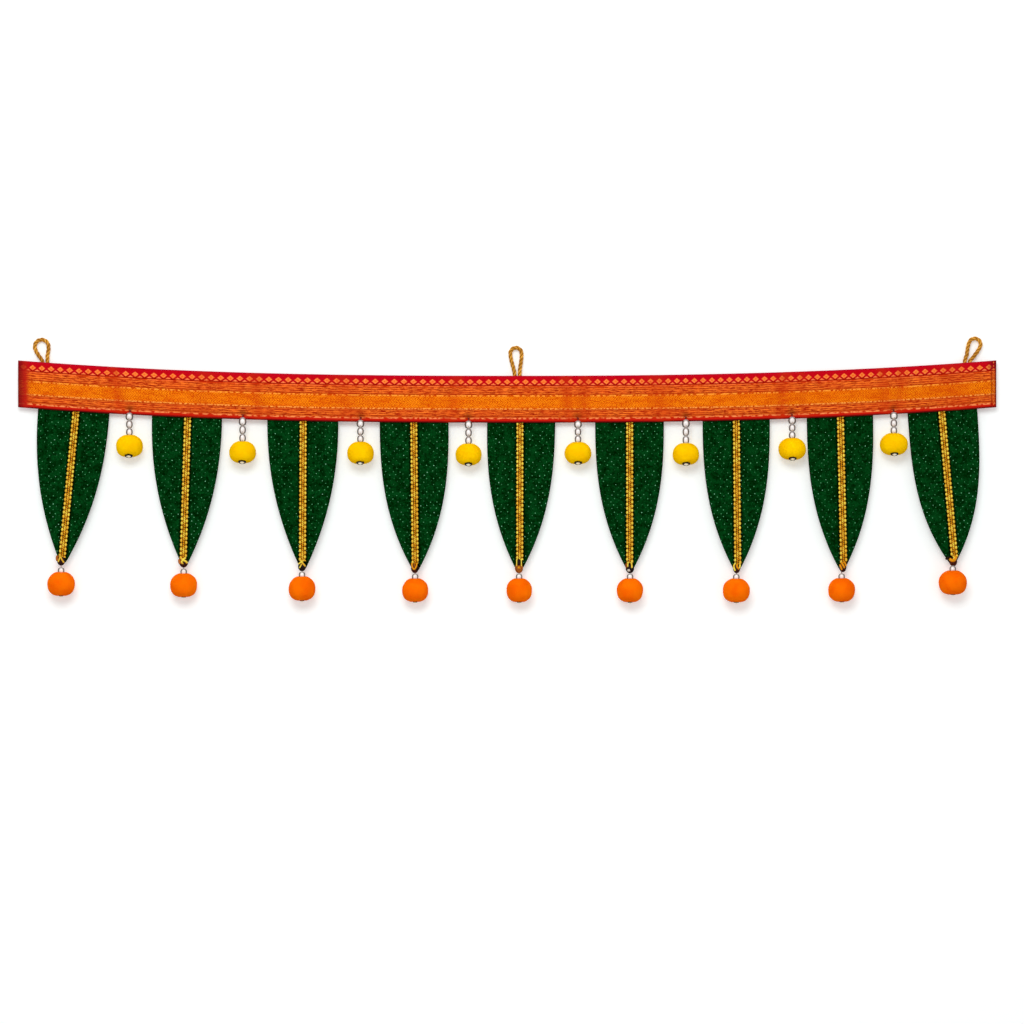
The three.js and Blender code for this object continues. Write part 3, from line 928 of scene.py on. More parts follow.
def rope_tree():
    sizes = {
        "Pitch": ("Float", 0.008),
        "Turn Radius": ("Float", 0.0009),
        "Strand Radius": ("Float", 0.001),
        "Step": ("Float", 0.0004),
        "Material": ("Material", None),
    }
    g, given = new_tree("rope", sizes)
    curve = g.node("GeometryNodeMeshToCurve", inputs={0: given["Geometry"]})
    run = g.node("GeometryNodeSplineParameter", output="Length")
    normal = g.node("GeometryNodeInputNormal")
    side = g.vector("CROSS_PRODUCT", g.node("GeometryNodeInputTangent"), normal)
    made = []
    for k in range(ROPE_STRANDS):
        angle = run * (2 * math.pi) / given["Pitch"] + 2 * math.pi * k / ROPE_STRANDS
        out = g.scaled(normal, g.math("COSINE", angle) * given["Turn Radius"])
        over = g.scaled(side, g.math("SINE", angle) * given["Turn Radius"])
        beside = g.vector("ADD", out, over)
        made.append(strand_along(g, curve, beside, given["Strand Radius"], ROPE_SIDES, given["Step"]))
    rope = gathered(g, made)
    # The crown value is high on the strands' outer faces and low in the grooves: painted highlight and shade.
    spine = g.node("GeometryNodeInputNamedAttribute", {"data_type": "FLOAT_VECTOR"}, {"Name": "spine"})
    away = g.vector("DISTANCE", g.node("GeometryNodeInputPosition"), spine, output=1)
    outer = given["Turn Radius"] + given["Strand Radius"]
    return end_tree(g, marked_with(g, rope, "crown", g.smooth(away / outer, 0.55, 1.0)), given["Material"])


ROPE = rope_tree()
print("rope tree nodes:", len(ROPE.nodes))


# %% [markdown]
# ### Loop-edged braid
#
# The braid's two edges are rows of small round loops, and the loops of one edge sit opposite the gaps of
# the other. Two cords cross again and again along the middle. All four are strands along the same path,
# and only their sideways rule differs. An edge strand moves outward and swells at each loop, and thins
# between loops.


# %% The braid tree
CORE = {"swing": 0.4, "rise": 0.0004, "radius": 0.0007, "sides": 6, "unevenness": 0.25, "wave": 410.0}
EDGE = {"rise": 0.0003, "sides": 8, "power": 1.3, "brightness": 1.1}


def braid_tree():
    sizes = {
        "Pitch": ("Float", 0.0042),
        "Inside": ("Float", 0.0017),
        "Outside": ("Float", 0.0025),
        "Thin": ("Float", 0.0006),
        "Thick": ("Float", 0.00117),
        "Across": ("Vector", (1, 0, 0)),
        "Front": ("Vector", (0, -1, 0)),
        "Step": ("Float", 0.0004),
        "Material": ("Material", None),
    }
    g, given = new_tree("braid", sizes)
    curve = g.node("GeometryNodeMeshToCurve", inputs={0: given["Geometry"]})
    run = g.node("GeometryNodeSplineParameter", output="Length")
    made = []
    for side in (-1, 1):
        loop = g.math("ABSOLUTE", g.math("SINE", run * math.pi / given["Pitch"] + side * math.pi / 4))
        across = (given["Inside"] + (given["Outside"] - given["Inside"]) * loop) * side
        radius = given["Thin"] + (given["Thick"] - given["Thin"]) * loop ** EDGE["power"]
        forward = g.scaled(given["Front"], loop * EDGE["rise"])
        offset = g.vector("ADD", g.scaled(given["Across"], across), forward)
        # The crown value paints the outer bumps of the edge loops lighter: a painted highlight.
        bright = loop ** EDGE["power"] * EDGE["brightness"]
        made.append(strand_along(g, curve, offset, radius, EDGE["sides"], given["Step"], bright))
        turn = run * (2 * math.pi) / given["Pitch"] + (1 - side) * math.pi / 2
        cross = g.math("SINE", turn) * given["Inside"] * CORE["swing"]
        height = g.math("COSINE", turn) * CORE["rise"]
        offset = g.vector("ADD", g.scaled(given["Across"], cross), g.scaled(given["Front"], height))
        # The crossing cords are painted lighter where they rise and darker where they dip: painted highlight
        # and shade.
        uneven = g.math("SINE", run * CORE["wave"]) * CORE["unevenness"]
        core = g.math("COSINE", turn) * 0.5 + 0.24 + uneven
        made.append(strand_along(g, curve, offset, CORE["radius"], CORE["sides"], given["Step"], core))
    return end_tree(g, gathered(g, made), given["Material"])


BRAIDING = braid_tree()
print("braid tree nodes:", len(BRAIDING.nodes))


# %% [markdown]
# ### Pile
#
# A pompom's pile is thousands of short fibres that stand out of the ball. Points are spread over the ball
# with a fixed seed, a thin three-sided spike stands on each, and every spike leans a little its own way.


# %% The pile tree
def pile_tree():
    sizes = {
        "Density": ("Float", 3.0e6),
        "Fibre Length": ("Float", 0.001),
        "Fibre Radius": ("Float", 0.00016),
        "Lean": ("Float", 0.5),
        "Seed": ("Int", 1),
        "Material": ("Material", None),
    }
    g, given = new_tree("pile", sizes)
    ball = given["Geometry"]
    inputs = {"Mesh": ball, "Density": given["Density"], "Seed": given["Seed"]}
    spread = g.make("GeometryNodeDistributePointsOnFaces", {"distribute_method": "RANDOM"}, inputs)
    spot = Value(g, spread.outputs["Points"])
    normal = Value(g, spread.outputs["Normal"])
    inputs = {"Vertices": 3, "Radius Top": 0.0, "Radius Bottom": given["Fibre Radius"],
              "Depth": given["Fibre Length"]}
    spike = g.node("GeometryNodeMeshCone", {"fill_type": "NGON"}, inputs)
    _, _, up = g.parts(g.node("GeometryNodeInputPosition"))
    inputs = {"Geometry": spike, "Name": "tip", "Value": g.smooth(up / given["Fibre Length"], 0.2, 1.0)}
    spike = g.node("GeometryNodeStoreNamedAttribute", {"data_type": "FLOAT", "domain": "POINT"}, inputs)
    inputs = {0: (-1, -1, -1), 1: (1, 1, 1), "Seed": given["Seed"]}
    any_way = g.node("FunctionNodeRandomValue", {"data_type": "FLOAT_VECTOR"}, inputs)
    upright = g.vector("ADD", normal, g.scaled(any_way, given["Lean"]))
    turn = g.node("FunctionNodeAlignRotationToVector", {"axis": "Z"}, {"Vector": upright})
    inputs = {2: 0.7, 3: 1.15, "Seed": given["Seed"] + 7}
    length = g.node("FunctionNodeRandomValue", {"data_type": "FLOAT"}, inputs, 1)
    inputs = {"Points": spot, "Instance": spike, "Rotation": turn, "Scale": g.together(1.0, 1.0, length)}
    fibres = g.node("GeometryNodeInstanceOnPoints", inputs=inputs)
    return end_tree(g, gathered(g, [ball, fibres]), given["Material"])


PILE = pile_tree()
print("pile tree nodes:", len(PILE.nodes))


# %% [markdown]
# ### Stitches
#
# A running stitch is a short bar of thread, a gap, and a bar again. The path is cut into even steps, and
# a stretched bead of thread is set on each, in line with the path.


# %% The stitch tree
def stitch_tree():
    sizes = {
        "Pitch": ("Float", 0.0035),
        "Stitch Length": ("Float", 0.0022),
        "Thread Radius": ("Float", 0.00022),
        "Material": ("Material", None),
    }
    g, given = new_tree("stitches", sizes)
    curve = g.node("GeometryNodeMeshToCurve", inputs={0: given["Geometry"]})
    inputs = {"Curve": curve, "Length": given["Pitch"]}
    spots = g.make("GeometryNodeCurveToPoints", {"mode": "LENGTH"}, inputs)
    bead = g.node("GeometryNodeMeshUVSphere", inputs={"Segments": 8, "Rings": 6, "Radius": 1.0})
    inputs = {"Geometry": bead, "Name": "crown", "Value": 0.8}
    bead = g.node("GeometryNodeStoreNamedAttribute", {"data_type": "FLOAT", "domain": "POINT"}, inputs)
    tangent = Value(g, spots.outputs["Tangent"])
    turn = g.node("FunctionNodeAlignRotationToVector", {"axis": "X"}, {"Vector": tangent})
    size = g.together(given["Stitch Length"] / 2, given["Thread Radius"], given["Thread Radius"])
    places = Value(g, spots.outputs["Points"])
    inputs = {"Points": places, "Instance": bead, "Rotation": turn, "Scale": size}
    bars = g.node("GeometryNodeInstanceOnPoints", inputs=inputs)
    return end_tree(g, bars, given["Material"])


STITCHES = stitch_tree()
print("stitch tree nodes:", len(STITCHES.nodes))

# %% [markdown]
# ## The band
#
# On the real toran this is a strip of sari border, folded and hemmed so that it is firm enough to carry
# the leaves. It is one closed sheet here, along the bow. Where a string is sewn on, the cloth is pulled
# in a little, and a few soft creases cross the strip where it was folded for sale. They are listed one by
# one: x, width and depth in millimetres, and slant for how far a crease runs sideways on its way down.

# %% The band's cloth
CREASE_COLUMNS = ("x", "width", "depth", "slant")
CREASE_ROWS = [
    (-385.0, 5.0, 0.45, 7.0),
    (-300.0, 9.0, 0.25, -5.0),
    (-247.0, 6.0, 0.4, 6.0),
    (-160.0, 10.0, 0.3, 9.0),
    (-52.0, 6.0, 0.35, -6.0),
    (59.0, 5.0, 0.45, 4.0),
    (76.0, 5.0, 0.4, -3.0),
    (150.0, 11.0, 0.3, 8.0),
    (272.0, 6.0, 0.45, -5.0),
    (292.0, 4.0, 0.3, 3.0),
    (372.0, 5.0, 0.4, 5.0),
    (388.0, 5.0, 0.35, -4.0),
    (440.0, 12.0, 0.25, 6.0),
]
CREASES = [dict(zip(CREASE_COLUMNS, row)) for row in CREASE_ROWS]
DEEPEST = 0.7
RIPPLE = {"deep": 0.12, "across": 17, "down": 21}
PULL_DEPTH = 0.35
PULL_RADIUS = 6.0
PULL_BELOW_TOP = 40.0
PULL_SHADE = {"below_top": 39.8, "half_width": 3.6, "half_height": 2.6}
HEM_EDGES = (0.16, 0.84)
HEM_STEP = 0.12
BAND_GRID = (380, 26)
WEAVE_DRIFT = {"steady": 0.18, "long wave": -0.81, "short wave": -0.07, "start": -0.13}


def band_relief(x, down):
    """How far the front of the band sinks in creases and at the sewn-on strings."""
    sunk = 0.0
    for crease in CREASES:
        middle = crease["x"] + crease["slant"] * (down / BAND["height"] - 0.5)
        sunk += crease["depth"] * math.exp(-((x - middle) / crease["width"]) ** 2)
    for yellow in YELLOWS:
        away = ((x - yellow["x"]) ** 2 + (down - PULL_BELOW_TOP) ** 2) / PULL_RADIUS ** 2
        sunk += PULL_DEPTH * math.exp(-away)
    ripple = noise.noise(Vector((x / RIPPLE["across"], down / RIPPLE["down"], 3.0)))
    return min(DEEPEST, sunk) + RIPPLE["deep"] * ripple


def band_place(across, down, side):
    x = BAND["length"] * (across - 0.5)
    depth = BAND["height"] * down
    half = BAND["thickness"] / 2
    hem = HEM_STEP if side and HEM_EDGES[0] < down < HEM_EDGES[1] else 0.0
    y = half - hem if side else band_relief(x, depth) - half
    return Vector((x, sway(x) + y, bow(x) - depth))


def band_uv(across, down, side):
    """The weave's own map. Its pattern is a little stretched here and squeezed there along the strip."""
    share = 2 * across - 1
    long_wave = WEAVE_DRIFT["long wave"] * math.cos(math.pi * share)
    short_wave = WEAVE_DRIFT["short wave"] * math.cos(2 * math.pi * share)
    drift = WEAVE_DRIFT["steady"] * share + long_wave + short_wave + WEAVE_DRIFT["start"]
    x = BAND["length"] * (across - 0.5) + DIAMOND["pitch"] * drift
    return (x, BAND["height"] * down + BACK_OF_BAND * side)


def band_pull_shade(across, down, side):
    """Painted shade round the place where a string's stitch gathers the cloth in."""
    x = BAND["length"] * (across - 0.5)
    low = (BAND["height"] * down - PULL_SHADE["below_top"]) / PULL_SHADE["half_height"]
    return max(math.exp(-((x - y["x"]) / PULL_SHADE["half_width"]) ** 2 - low ** 2) for y in YELLOWS)


def band_crease_shade(across, down, side):
    """Painted shade along the creases, darkest where a crease is deepest."""
    x = BAND["length"] * (across - 0.5)
    worn = 0.0
    for crease in CREASES:
        middle = crease["x"] + crease["slant"] * (down - 0.5)
        worn = max(worn, 1.8 * crease["depth"] * math.exp(-((x - middle) / crease["width"]) ** 2))
    return worn


band_values = {"pull": band_pull_shade, "worn": band_crease_shade}
band = sheet_piece("band_cloth", *BAND_GRID, band_place, band_uv, BAND_CLOTH, value=band_values)
print("band triangles:", 2 * len(band.data.polygons))

# %% [markdown]
# ## The leaves
#
# Each leaf is cut to a mango-leaf outline, which keeps its width near the band and then tapers in one
# long curve. The outline follows a power rule, so it needs no drawn points. The middle lies flat behind
# the braid, the sides come forward to the band, and the cloth is slightly crumpled, each leaf in its own
# way.

# %% Leaf cloth
CRUMPLE = {"deep": 0.6, "across": 14, "along": 18, "from rib": 8, "from band": 20}
LEAF_GRID = (26, 56)
LEAF_EDGE = 0.3


def leaf_half(leaf, along):
    share = min(max(along / leaf["length"], 0.0), 1.0)
    return max(LEAF["tip"], leaf["width"] / 2 * (1 - LEAF["taper_depth"] * share ** leaf["taper"]))


def leaf_piece(leaf, number):
    reach = LEAF["tuck"] + leaf["length"] - LEAF["short"]
    cup = RIB_FRONT - EDGE_FRONT

    def along_at(down):
        return down * reach - LEAF["tuck"]

    def place(across, down, side):
        along = along_at(down)
        half = leaf_half(leaf, along)
        flat = min(LEAF["rib"], 0.7 * half)
        away = (2 * across - 1) * half
        rise = max(0.0, abs(away) - flat) / (leaf["width"] / 2 - flat)
        free = min(1.0, max(0.0, abs(away) - flat) / CRUMPLE["from rib"])
        free *= min(1.0, max(0.0, along) / CRUMPLE["from band"])
        spot = Vector((away / CRUMPLE["across"] + 9 * number, along / CRUMPLE["along"], 0.0))
        crumple = CRUMPLE["deep"] * noise.noise(spot) * free
        depth = RIB_FRONT - cup * rise + crumple + side * LEAF["thickness"]
        return on_leaf(leaf, away, along, depth)

    def uv(across, down, side):
        along = along_at(down)
        width = (2 * across - 1) * leaf_half(leaf, along)
        return (width + LEAF_MAPS_APART * number, along + BACK_OF_LEAF * side)

    def rim(across, down, side):
        along = along_at(down)
        half = leaf_half(leaf, along)
        return min(half * (1 - abs(2 * across - 1)), leaf["length"] - LEAF["short"] - along)

    def beside(across, down, side):
        along = along_at(down)
        return (2 * across - 1) * leaf_half(leaf, along) - rib_offset(leaf, along)

    values = {"rim": rim, "beside": beside}
    return sheet_piece(f"leaf_cloth_{number}", *LEAF_GRID, place, uv, LEAF_CLOTH, LEAF_EDGE, values)


leaf_pieces = [leaf_piece(leaf, number) for number, leaf in enumerate(LEAVES, 1)]
print("leaf triangles:", 2 * sum(len(piece.data.polygons) for piece in leaf_pieces))


# %% [markdown]
# ## Braid ribs and their knots
#
# The braid is sewn down the middle of each leaf, not always quite straight. At the tip its end is folded
# with the leaf's tip into a small dark tab, and the last gold threads cross or splay over it, each in its
# own way. The table says how: the tab's place across, its half width and its tone, how far before the tip
# the braid stops, and each thread's kind, radius and route. A route is in millimetres across and below
# the leaf's tip.


# %% Braids
TIP_THREADS = {"gold": (BRAID_GOLD, 0.95), "amber": (BRAID_GOLD, 0.5), "rust": (KNOT_MAROON, 0.85),
               "dark": (KNOT_MAROON, 0.1), "pale": (HIGHLIGHT_THREAD, 0.95)}
TIPS = [
    {"tab": (-1.3, 4.1, 0.15), "end": 6.5, "threads": [
        ("rust", 1.3, (-4.9, -8.0), (-5.4, -5.6), (-4.6, -3.0)),
        ("gold", 0.6, (-2.4, -7.6), (-2.9, -5.0), (-4.0, -1.8)),
        ("gold", 0.6, (-2.0, -7.2), (-0.4, -4.4), (1.8, -1.6))]},
    {"tab": (-0.5, 4.4, 0.2), "end": 7.0, "threads": [
        ("rust", 1.3, (-4.4, -6.6), (-4.4, -4.2), (-3.2, -2.2)),
        ("gold", 0.9, (-3.4, -8.4), (-1.2, -6.0), (1.4, -4.8), (3.3, -2.8)),
        ("gold", 0.8, (1.4, -8.6), (-0.6, -6.4), (-2.4, -4.0), (-0.9, -2.0))]},
    {"tab": (-0.9, 4.0, 0.0), "end": 8.5, "threads": [
        ("gold", 0.6, (1.8, -10.2), (-0.8, -8.2), (-2.8, -6.8), (-4.6, -5.4)),
        ("gold", 0.7, (-2.4, -9.4), (-0.8, -7.4), (0.8, -5.4), (2.6, -3.4)),
        ("gold", 0.5, (-0.9, -6.2), (-2.0, -4.0), (-3.3, -1.8))]},
    {"tab": (-0.8, 3.8, 0.25), "end": 8.0, "threads": [
        ("amber", 0.7, (-3.6, -8.8), (-3.3, -5.0), (-1.6, -2.4), (0.3, -4.2), (1.4, -8.8)),
        ("rust", 0.7, (-1.2, -8.0), (-1.2, -4.6)),
        ("dark", 1.7, (1.6, -3.4), (2.9, -2.5))]},
    {"tab": (-0.2, 4.1, 0.75), "end": 11.5, "threads": [
        ("dark", 1.5, (-0.3, -12.0), (-0.3, -6.4)),
        ("gold", 0.55, (-2.4, -12.5), (-2.4, -9.0), (-2.6, -5.4)),
        ("gold", 0.55, (1.9, -12.5), (2.0, -9.0), (2.2, -5.4)),
        ("amber", 1.0, (-0.5, -5.2), (-0.5, -3.0))]},
    {"tab": (-0.1, 4.2, 0.0), "end": 9.0, "threads": [
        ("gold", 0.6, (-1.4, -9.8), (-2.2, -7.4), (-2.2, -4.8)),
        ("gold", 0.65, (0.8, -9.8), (1.7, -6.8), (1.7, -3.6)),
        ("rust", 0.7, (-3.3, -8.2), (-3.9, -5.6), (-3.4, -3.6)),
        # This pale thread over the dark tab is a painted highlight.
        ("pale", 1.0, (-2.6, -1.6), (-1.2, -1.3), (-0.1, -1.6))]},
    {"tab": (-0.5, 3.6, 0.2), "end": 7.5, "threads": [
        ("gold", 0.75, (-1.4, -9.0), (-3.0, -6.2), (-3.0, -3.4), (-1.9, -0.9)),
        ("gold", 0.7, (2.4, -9.2), (2.8, -6.4), (2.2, -3.4)),
        ("amber", 0.8, (0.2, -7.6), (-0.2, -5.0), (1.8, -2.4))]},
    {"tab": (0.5, 3.7, 0.2), "end": 8.0, "threads": [
        ("amber", 0.75, (-2.4, -6.2), (-1.5, -3.4), (-0.5, -0.8)),
        ("amber", 0.85, (-1.0, -8.2), (0.6, -5.4), (2.0, -2.4)),
        ("amber", 0.85, (1.4, -8.8), (3.0, -6.4), (3.9, -4.4))]},
    {"tab": (0.3, 4.0, 0.3), "end": 8.0, "threads": [
        ("amber", 1.2, (-3.2, -6.4), (-1.4, -4.4), (0.8, -4.4), (2.8, -6.4), (3.4, -8.8)),
        ("gold", 0.7, (0.2, -8.8), (1.4, -7.0), (0.2, -5.6)),
        ("dark", 1.9, (-5.6, -8.0), (-4.6, -5.8))]},
]
TAB_HALF_HEIGHT = 4.5
TAB_MIDDLE = -2.9
TAB_BULGE = 1.5
TAB_FRONT = RIB_FRONT - GAP - KNOT_MIDDLE
TAB_PROFILE = [(0, -1.0), (0.42, -0.9), (0.72, -0.66), (0.93, -0.3), (1.0, 0.1), (0.9, 0.5), (0.62, 0.82),
               (0, 1.0)]
TAB_SIDES = 20
TAB_RIDGE = {"deep": 0.15, "across": 9, "up": 5, "brighter": 1.2}
SPLAY_THICKER = 1.2
SPLAY_OUT = 0.35
BRAID_CROWN = 0.8
BRAID_STOPS = 60
TUBE_SIDES = 8


def rounded(points, steps=5):
    """More points on a soft curve through the given ones."""
    ends = [points[0]] + points + [points[-1]]
    made = []
    for a, b, c, d in zip(ends, ends[1:], ends[2:], ends[3:]):
        for k in range(steps):
            t = k / steps
            second = (2 * a - 5 * b + 4 * c - d) * t ** 2
            third = (3 * b - a - 3 * c + d) * t ** 3
            made.append((2 * b + (c - a) * t + second + third) / 2)
    return made + [points[-1]]


def small_tube(name, points, radius, material, crown):
    """A plain round thread along a few points, with round ends."""
    corners = [Vector(p) for p in points]
    rings = []
    made = []
    count = len(corners)
    for k, place in enumerate(corners):
        ahead = corners[min(k + 1, count - 1)] - corners[max(k - 1, 0)]
        ahead.normalize()
        first = ahead.cross(Vector((0, 1, 0)))
        first = first.normalized() if first.length > 0.1 else Vector((1, 0, 0))
        second = ahead.cross(first)
        slim = radius * (0.55 if k in (0, count - 1) else 1.0)
        rings.append([len(made) + n for n in range(TUBE_SIDES)])
        for n in range(TUBE_SIDES):
            turn = 2 * math.pi * n / TUBE_SIDES
            made.append(place + first * (slim * math.cos(turn)) + second * (slim * math.sin(turn)))
    faces = [tuple(rings[0]), tuple(reversed(rings[-1]))]
    for low, high in zip(rings, rings[1:]):
        for n in range(TUBE_SIDES):
            m = (n + 1) % TUBE_SIDES
            faces.append((low[n], low[m], high[m], high[n]))
    return new_piece(name, made, faces, material, values={"crown": [crown] * len(made)})


def tab_front(tip, across, below):
    """Depth of the tab's front at a place across and below the leaf's tip."""
    middle, half, _ = tip["tab"]
    share = 1 - ((across - middle) / half) ** 2 - ((below - TAB_MIDDLE) / TAB_HALF_HEIGHT) ** 2
    return TAB_FRONT - TAB_BULGE * math.sqrt(max(0.0, share))


def tab_piece(leaf, tip, number):
    """The dark folded tab over a leaf's tip."""
    points, faces = turned_form(TAB_PROFILE, TAB_SIDES)
    middle, half, tone = tip["tab"]
    shaped = []
    crown = []
    for p in points:
        wave = math.sin(TAB_RIDGE["across"] * p.x + TAB_RIDGE["up"] * p.z + number)
        ridge = TAB_RIDGE["deep"] * wave if p.y < 0 else 0.0
        depth = TAB_FRONT + TAB_BULGE * p.y * (1 + ridge)
        below = TAB_MIDDLE - TAB_HALF_HEIGHT * p.z
        shaped.append(on_leaf(leaf, middle + half * p.x, leaf["length"] + below, depth))
        # The ridges of the fold are painted lighter and its hollows darker: painted light and shade along the
        # relief.
        crown.append(tone + TAB_RIDGE["brighter"] * ridge)
    return new_piece(f"tab_{number}", shaped, faces, KNOT_MAROON, values={"crown": crown})


def pressed(piece, leaf, depth, share):
    """Presses a sewn-down braid towards its own middle plane."""
    lean = math.radians(leaf["lean"])
    for vertex in piece.data.vertices:
        place = vertex.co / MM
        x = place.x - leaf["x"]
        z = place.z - lower_edge(leaf["x"])
        across = x * math.cos(lean) + z * math.sin(lean)
        along = x * math.sin(lean) - z * math.cos(lean)
        middle = on_leaf(leaf, across, along, depth).y
        vertex.co.y = (middle + (place.y - middle) * share) * MM


def braid_piece(leaf, number):
    lean = math.radians(leaf["lean"])
    tip = TIPS[number - 1]
    depth = RIB_FRONT - GAP - BRAID["thickness"] / 2
    start = -BRAID["tuck"]
    end = leaf["length"] - tip["end"]
    stops = [start + (end - start) * k / (BRAID_STOPS - 1) for k in range(BRAID_STOPS)]
    path = [on_leaf(leaf, rib_offset(leaf, along), along, depth) for along in stops]
    piece = path_piece(f"braid_trim_{number}", path)
    settings = {
        "Across": (math.cos(lean), 0.0, math.sin(lean)),
        "Pitch": BRAID["pitch"] * MM * (1 + 0.02 * math.sin(number)),
        "Material": BRAID_GOLD,
    }
    run_tree(piece, BRAIDING, settings)
    pressed(piece, leaf, depth, BRAID["pressed"])
    made = [piece, tab_piece(leaf, tip, number)]
    for k, (kind, radius, *route) in enumerate(tip["threads"]):
        material, crown = TIP_THREADS[kind]
        places = []
        for across, below in route:
            front = min(tab_front(tip, across, below), depth - BRAID_CROWN) - SPLAY_OUT
            places.append(on_leaf(leaf, across, leaf["length"] + below, front))
        thick = radius * SPLAY_THICKER
        made.append(small_tube(f"splay_{number}_{k}", rounded(places), thick, material, crown))
    return joined(f"braid_trim_{number}", made)


braid_pieces = [braid_piece(leaf, number) for number, leaf in enumerate(LEAVES, 1)]
print("braid triangles, first:", sum(len(p.vertices) - 2 for p in braid_pieces[0].data.polygons))


# %% [markdown]
# ## Hanging loops
#
# Each loop is one length of twisted cord, folded in two with both ends sewn behind the band. Its legs
# rise close together, open and close again in a half circle. The path is worked out from the loop's
# height, width and lean, and the rope tree twists the strands along it.


# %% Loops of cord
ROPE_SIZES = {"Pitch": 13.0, "Turn Radius": 1.0, "Strand Radius": 1.1, "Step": 0.4}
LOOP_STEPS = {"tuck": 6, "leg": 16, "crown": 24}


def loop_path(loop):
    radius = loop["width"] / 2 - CORD["radius"]
    middle = loop["height"] - CORD["radius"] - radius
    foot = CORD["legs"] / 2
    right = [(foot, -CORD["tuck"] + k * CORD["tuck"] / LOOP_STEPS["tuck"]) for k in range(LOOP_STEPS["tuck"])]
    for k in range(LOOP_STEPS["leg"]):
        share = k / LOOP_STEPS["leg"]
        right.append((foot + (radius - foot) * math.sin(math.pi / 2 * share) ** 2, middle * share))
    crown = []
    for k in range(LOOP_STEPS["crown"] + 1):
        angle = math.pi * k / LOOP_STEPS["crown"]
        crown.append((radius * math.cos(angle), middle + radius * math.sin(angle)))
    left = [(-across, up) for across, up in reversed(right)]
    depth = sway(loop["x"]) + BAND["thickness"] / 2 + GAP + CORD["radius"]
    points = []
    for across, up in right + crown + left:
        tilt = math.radians(loop["lean"]) * min(max(up / 6, 0), 1)
        x = loop["x"] + across * math.cos(tilt) + up * math.sin(tilt)
        z = bow(loop["x"]) + up * math.cos(tilt) - across * math.sin(tilt)
        points.append(Vector((x, depth, z)))
    return points


def rope_piece(loop):
    piece = path_piece(f"loop_cord_{loop['name']}", loop_path(loop))
    settings = {label: size * MM for label, size in ROPE_SIZES.items()}
    return run_tree(piece, ROPE, {**settings, "Material": CORD_GOLD})


loop_pieces = [rope_piece(loop) for loop in LOOPS]
print("loop triangles:", [sum(len(p.vertices) - 2 for p in piece.data.polygons) for piece in loop_pieces])


# %% [markdown]
# ## Pearl strings
#
# A string is a dark red thread through three pearls, the pompom and a flat end bead. Pearls are turned
# forms, a little longer than wide, with a small dimple at each hole. The first pearl rests against the
# band, so the thread slants back from it to its stitch. The end beads are pieces of their own, because
# they are brass: a thin dark disc with a knot in the middle of its underside, painted pale as a painted
# highlight.


# %% Pearls, threads and end beads
PEARL_SIDES = 24
STRING_OUT = 4.4
STITCH_UP = 4.4
THREAD_RADIUS = 0.55
STITCH_RADIUS = 0.45
BEAD_SIDES = 28
YELLOW_BEAD = {"radius": 3.9, "half": 0.8, "lift": 0.1, "tilt": 27.0}
ORANGE_BEAD = {"radius": 2.5, "half": 0.8, "lift": 0.5, "tilt": 6.0}
YELLOW_PEARLS = {"first": 3.85, "others": 3.3, "overlap": 0.2, "sunk": 1.7, "behind band": 1.6}
TIP_PEARL = {"radius": 3.3, "half": 3.5, "lift": 0.6}


def pearl_profile(radius, half, middle, hole=0.5, rounds=12):
    """A pearl's profile. Its shoulders are fuller than a ball's, and a small hole dimples both ends."""
    ends = math.acos((hole / radius) ** 1.25)
    body = []
    for k in range(rounds + 1):
        angle = -ends + 2 * ends * k / rounds
        up = math.copysign(abs(math.sin(angle)) ** 0.9, angle)
        body.append((radius * math.cos(angle) ** 0.8, middle + half * up))
    return [(0, middle - half + 0.5)] + body + [(0, middle + half - 0.5)]


def pearl_piece(name, place, radius, half, middle):
    points, faces = turned_form(pearl_profile(radius, half, middle), PEARL_SIDES)
    return new_piece(name, [p + place for p in points], faces, PEARL)


def end_bead_piece(name, place, ball, bead):
    """A thin brass disc with a knot under it, tilted forward with the ball that it holds."""
    radius = bead["radius"]
    half = bead["half"]
    middle = bead["lift"] - ball["tall"] / 2
    foot = middle - half
    knot = [(0, foot - 1.0), (radius * 0.25, foot - 0.86), (radius * 0.42, foot - 0.45),
            (radius * 0.5, foot)]
    disc = [(radius * 0.6, foot), (radius * 0.85, foot), (radius, middle - half * 0.4),
            (radius, middle + half * 0.4), (radius * 0.85, middle + half), (0, middle + half)]
    points, faces = turned_form(knot + disc, BEAD_SIDES)
    # The knot and the underside round it are painted pale: a painted highlight.
    pale = [1.0 if p.z < middle and Vector((p.x, p.y)).length < radius * 0.55 else 0.0 for p in points]
    turned = Matrix.Rotation(-math.radians(bead["tilt"]), 3, "X")
    return new_piece(name, [turned @ p + place for p in points], faces, BRASS, values={"knot": pale})


def yellow_place(yellow):
    x = yellow["x"]
    return Vector((x, sway(x) - STRING_OUT, lower_edge(x) - yellow["drop"]))


def orange_place(leaf):
    place = on_leaf(leaf, leaf["swing"], leaf["length"], TAB_FRONT)
    return place - Vector((0, 0, leaf["drop"]))


def yellow_pearls(yellow):
    """Radius, half height and height over the pompom's middle of each pearl, from the band down."""
    low = yellow["tall"] / 2 - YELLOW_PEARLS["sunk"]
    high = yellow["drop"] + YELLOW_PEARLS["behind band"]
    step = (high - low) / 3
    half = step / 2 + YELLOW_PEARLS["overlap"]
    radii = (YELLOW_PEARLS["first"], YELLOW_PEARLS["others"], YELLOW_PEARLS["others"])
    return [(radius, half, high - step * (k + 0.5)) for k, radius in enumerate(radii)]


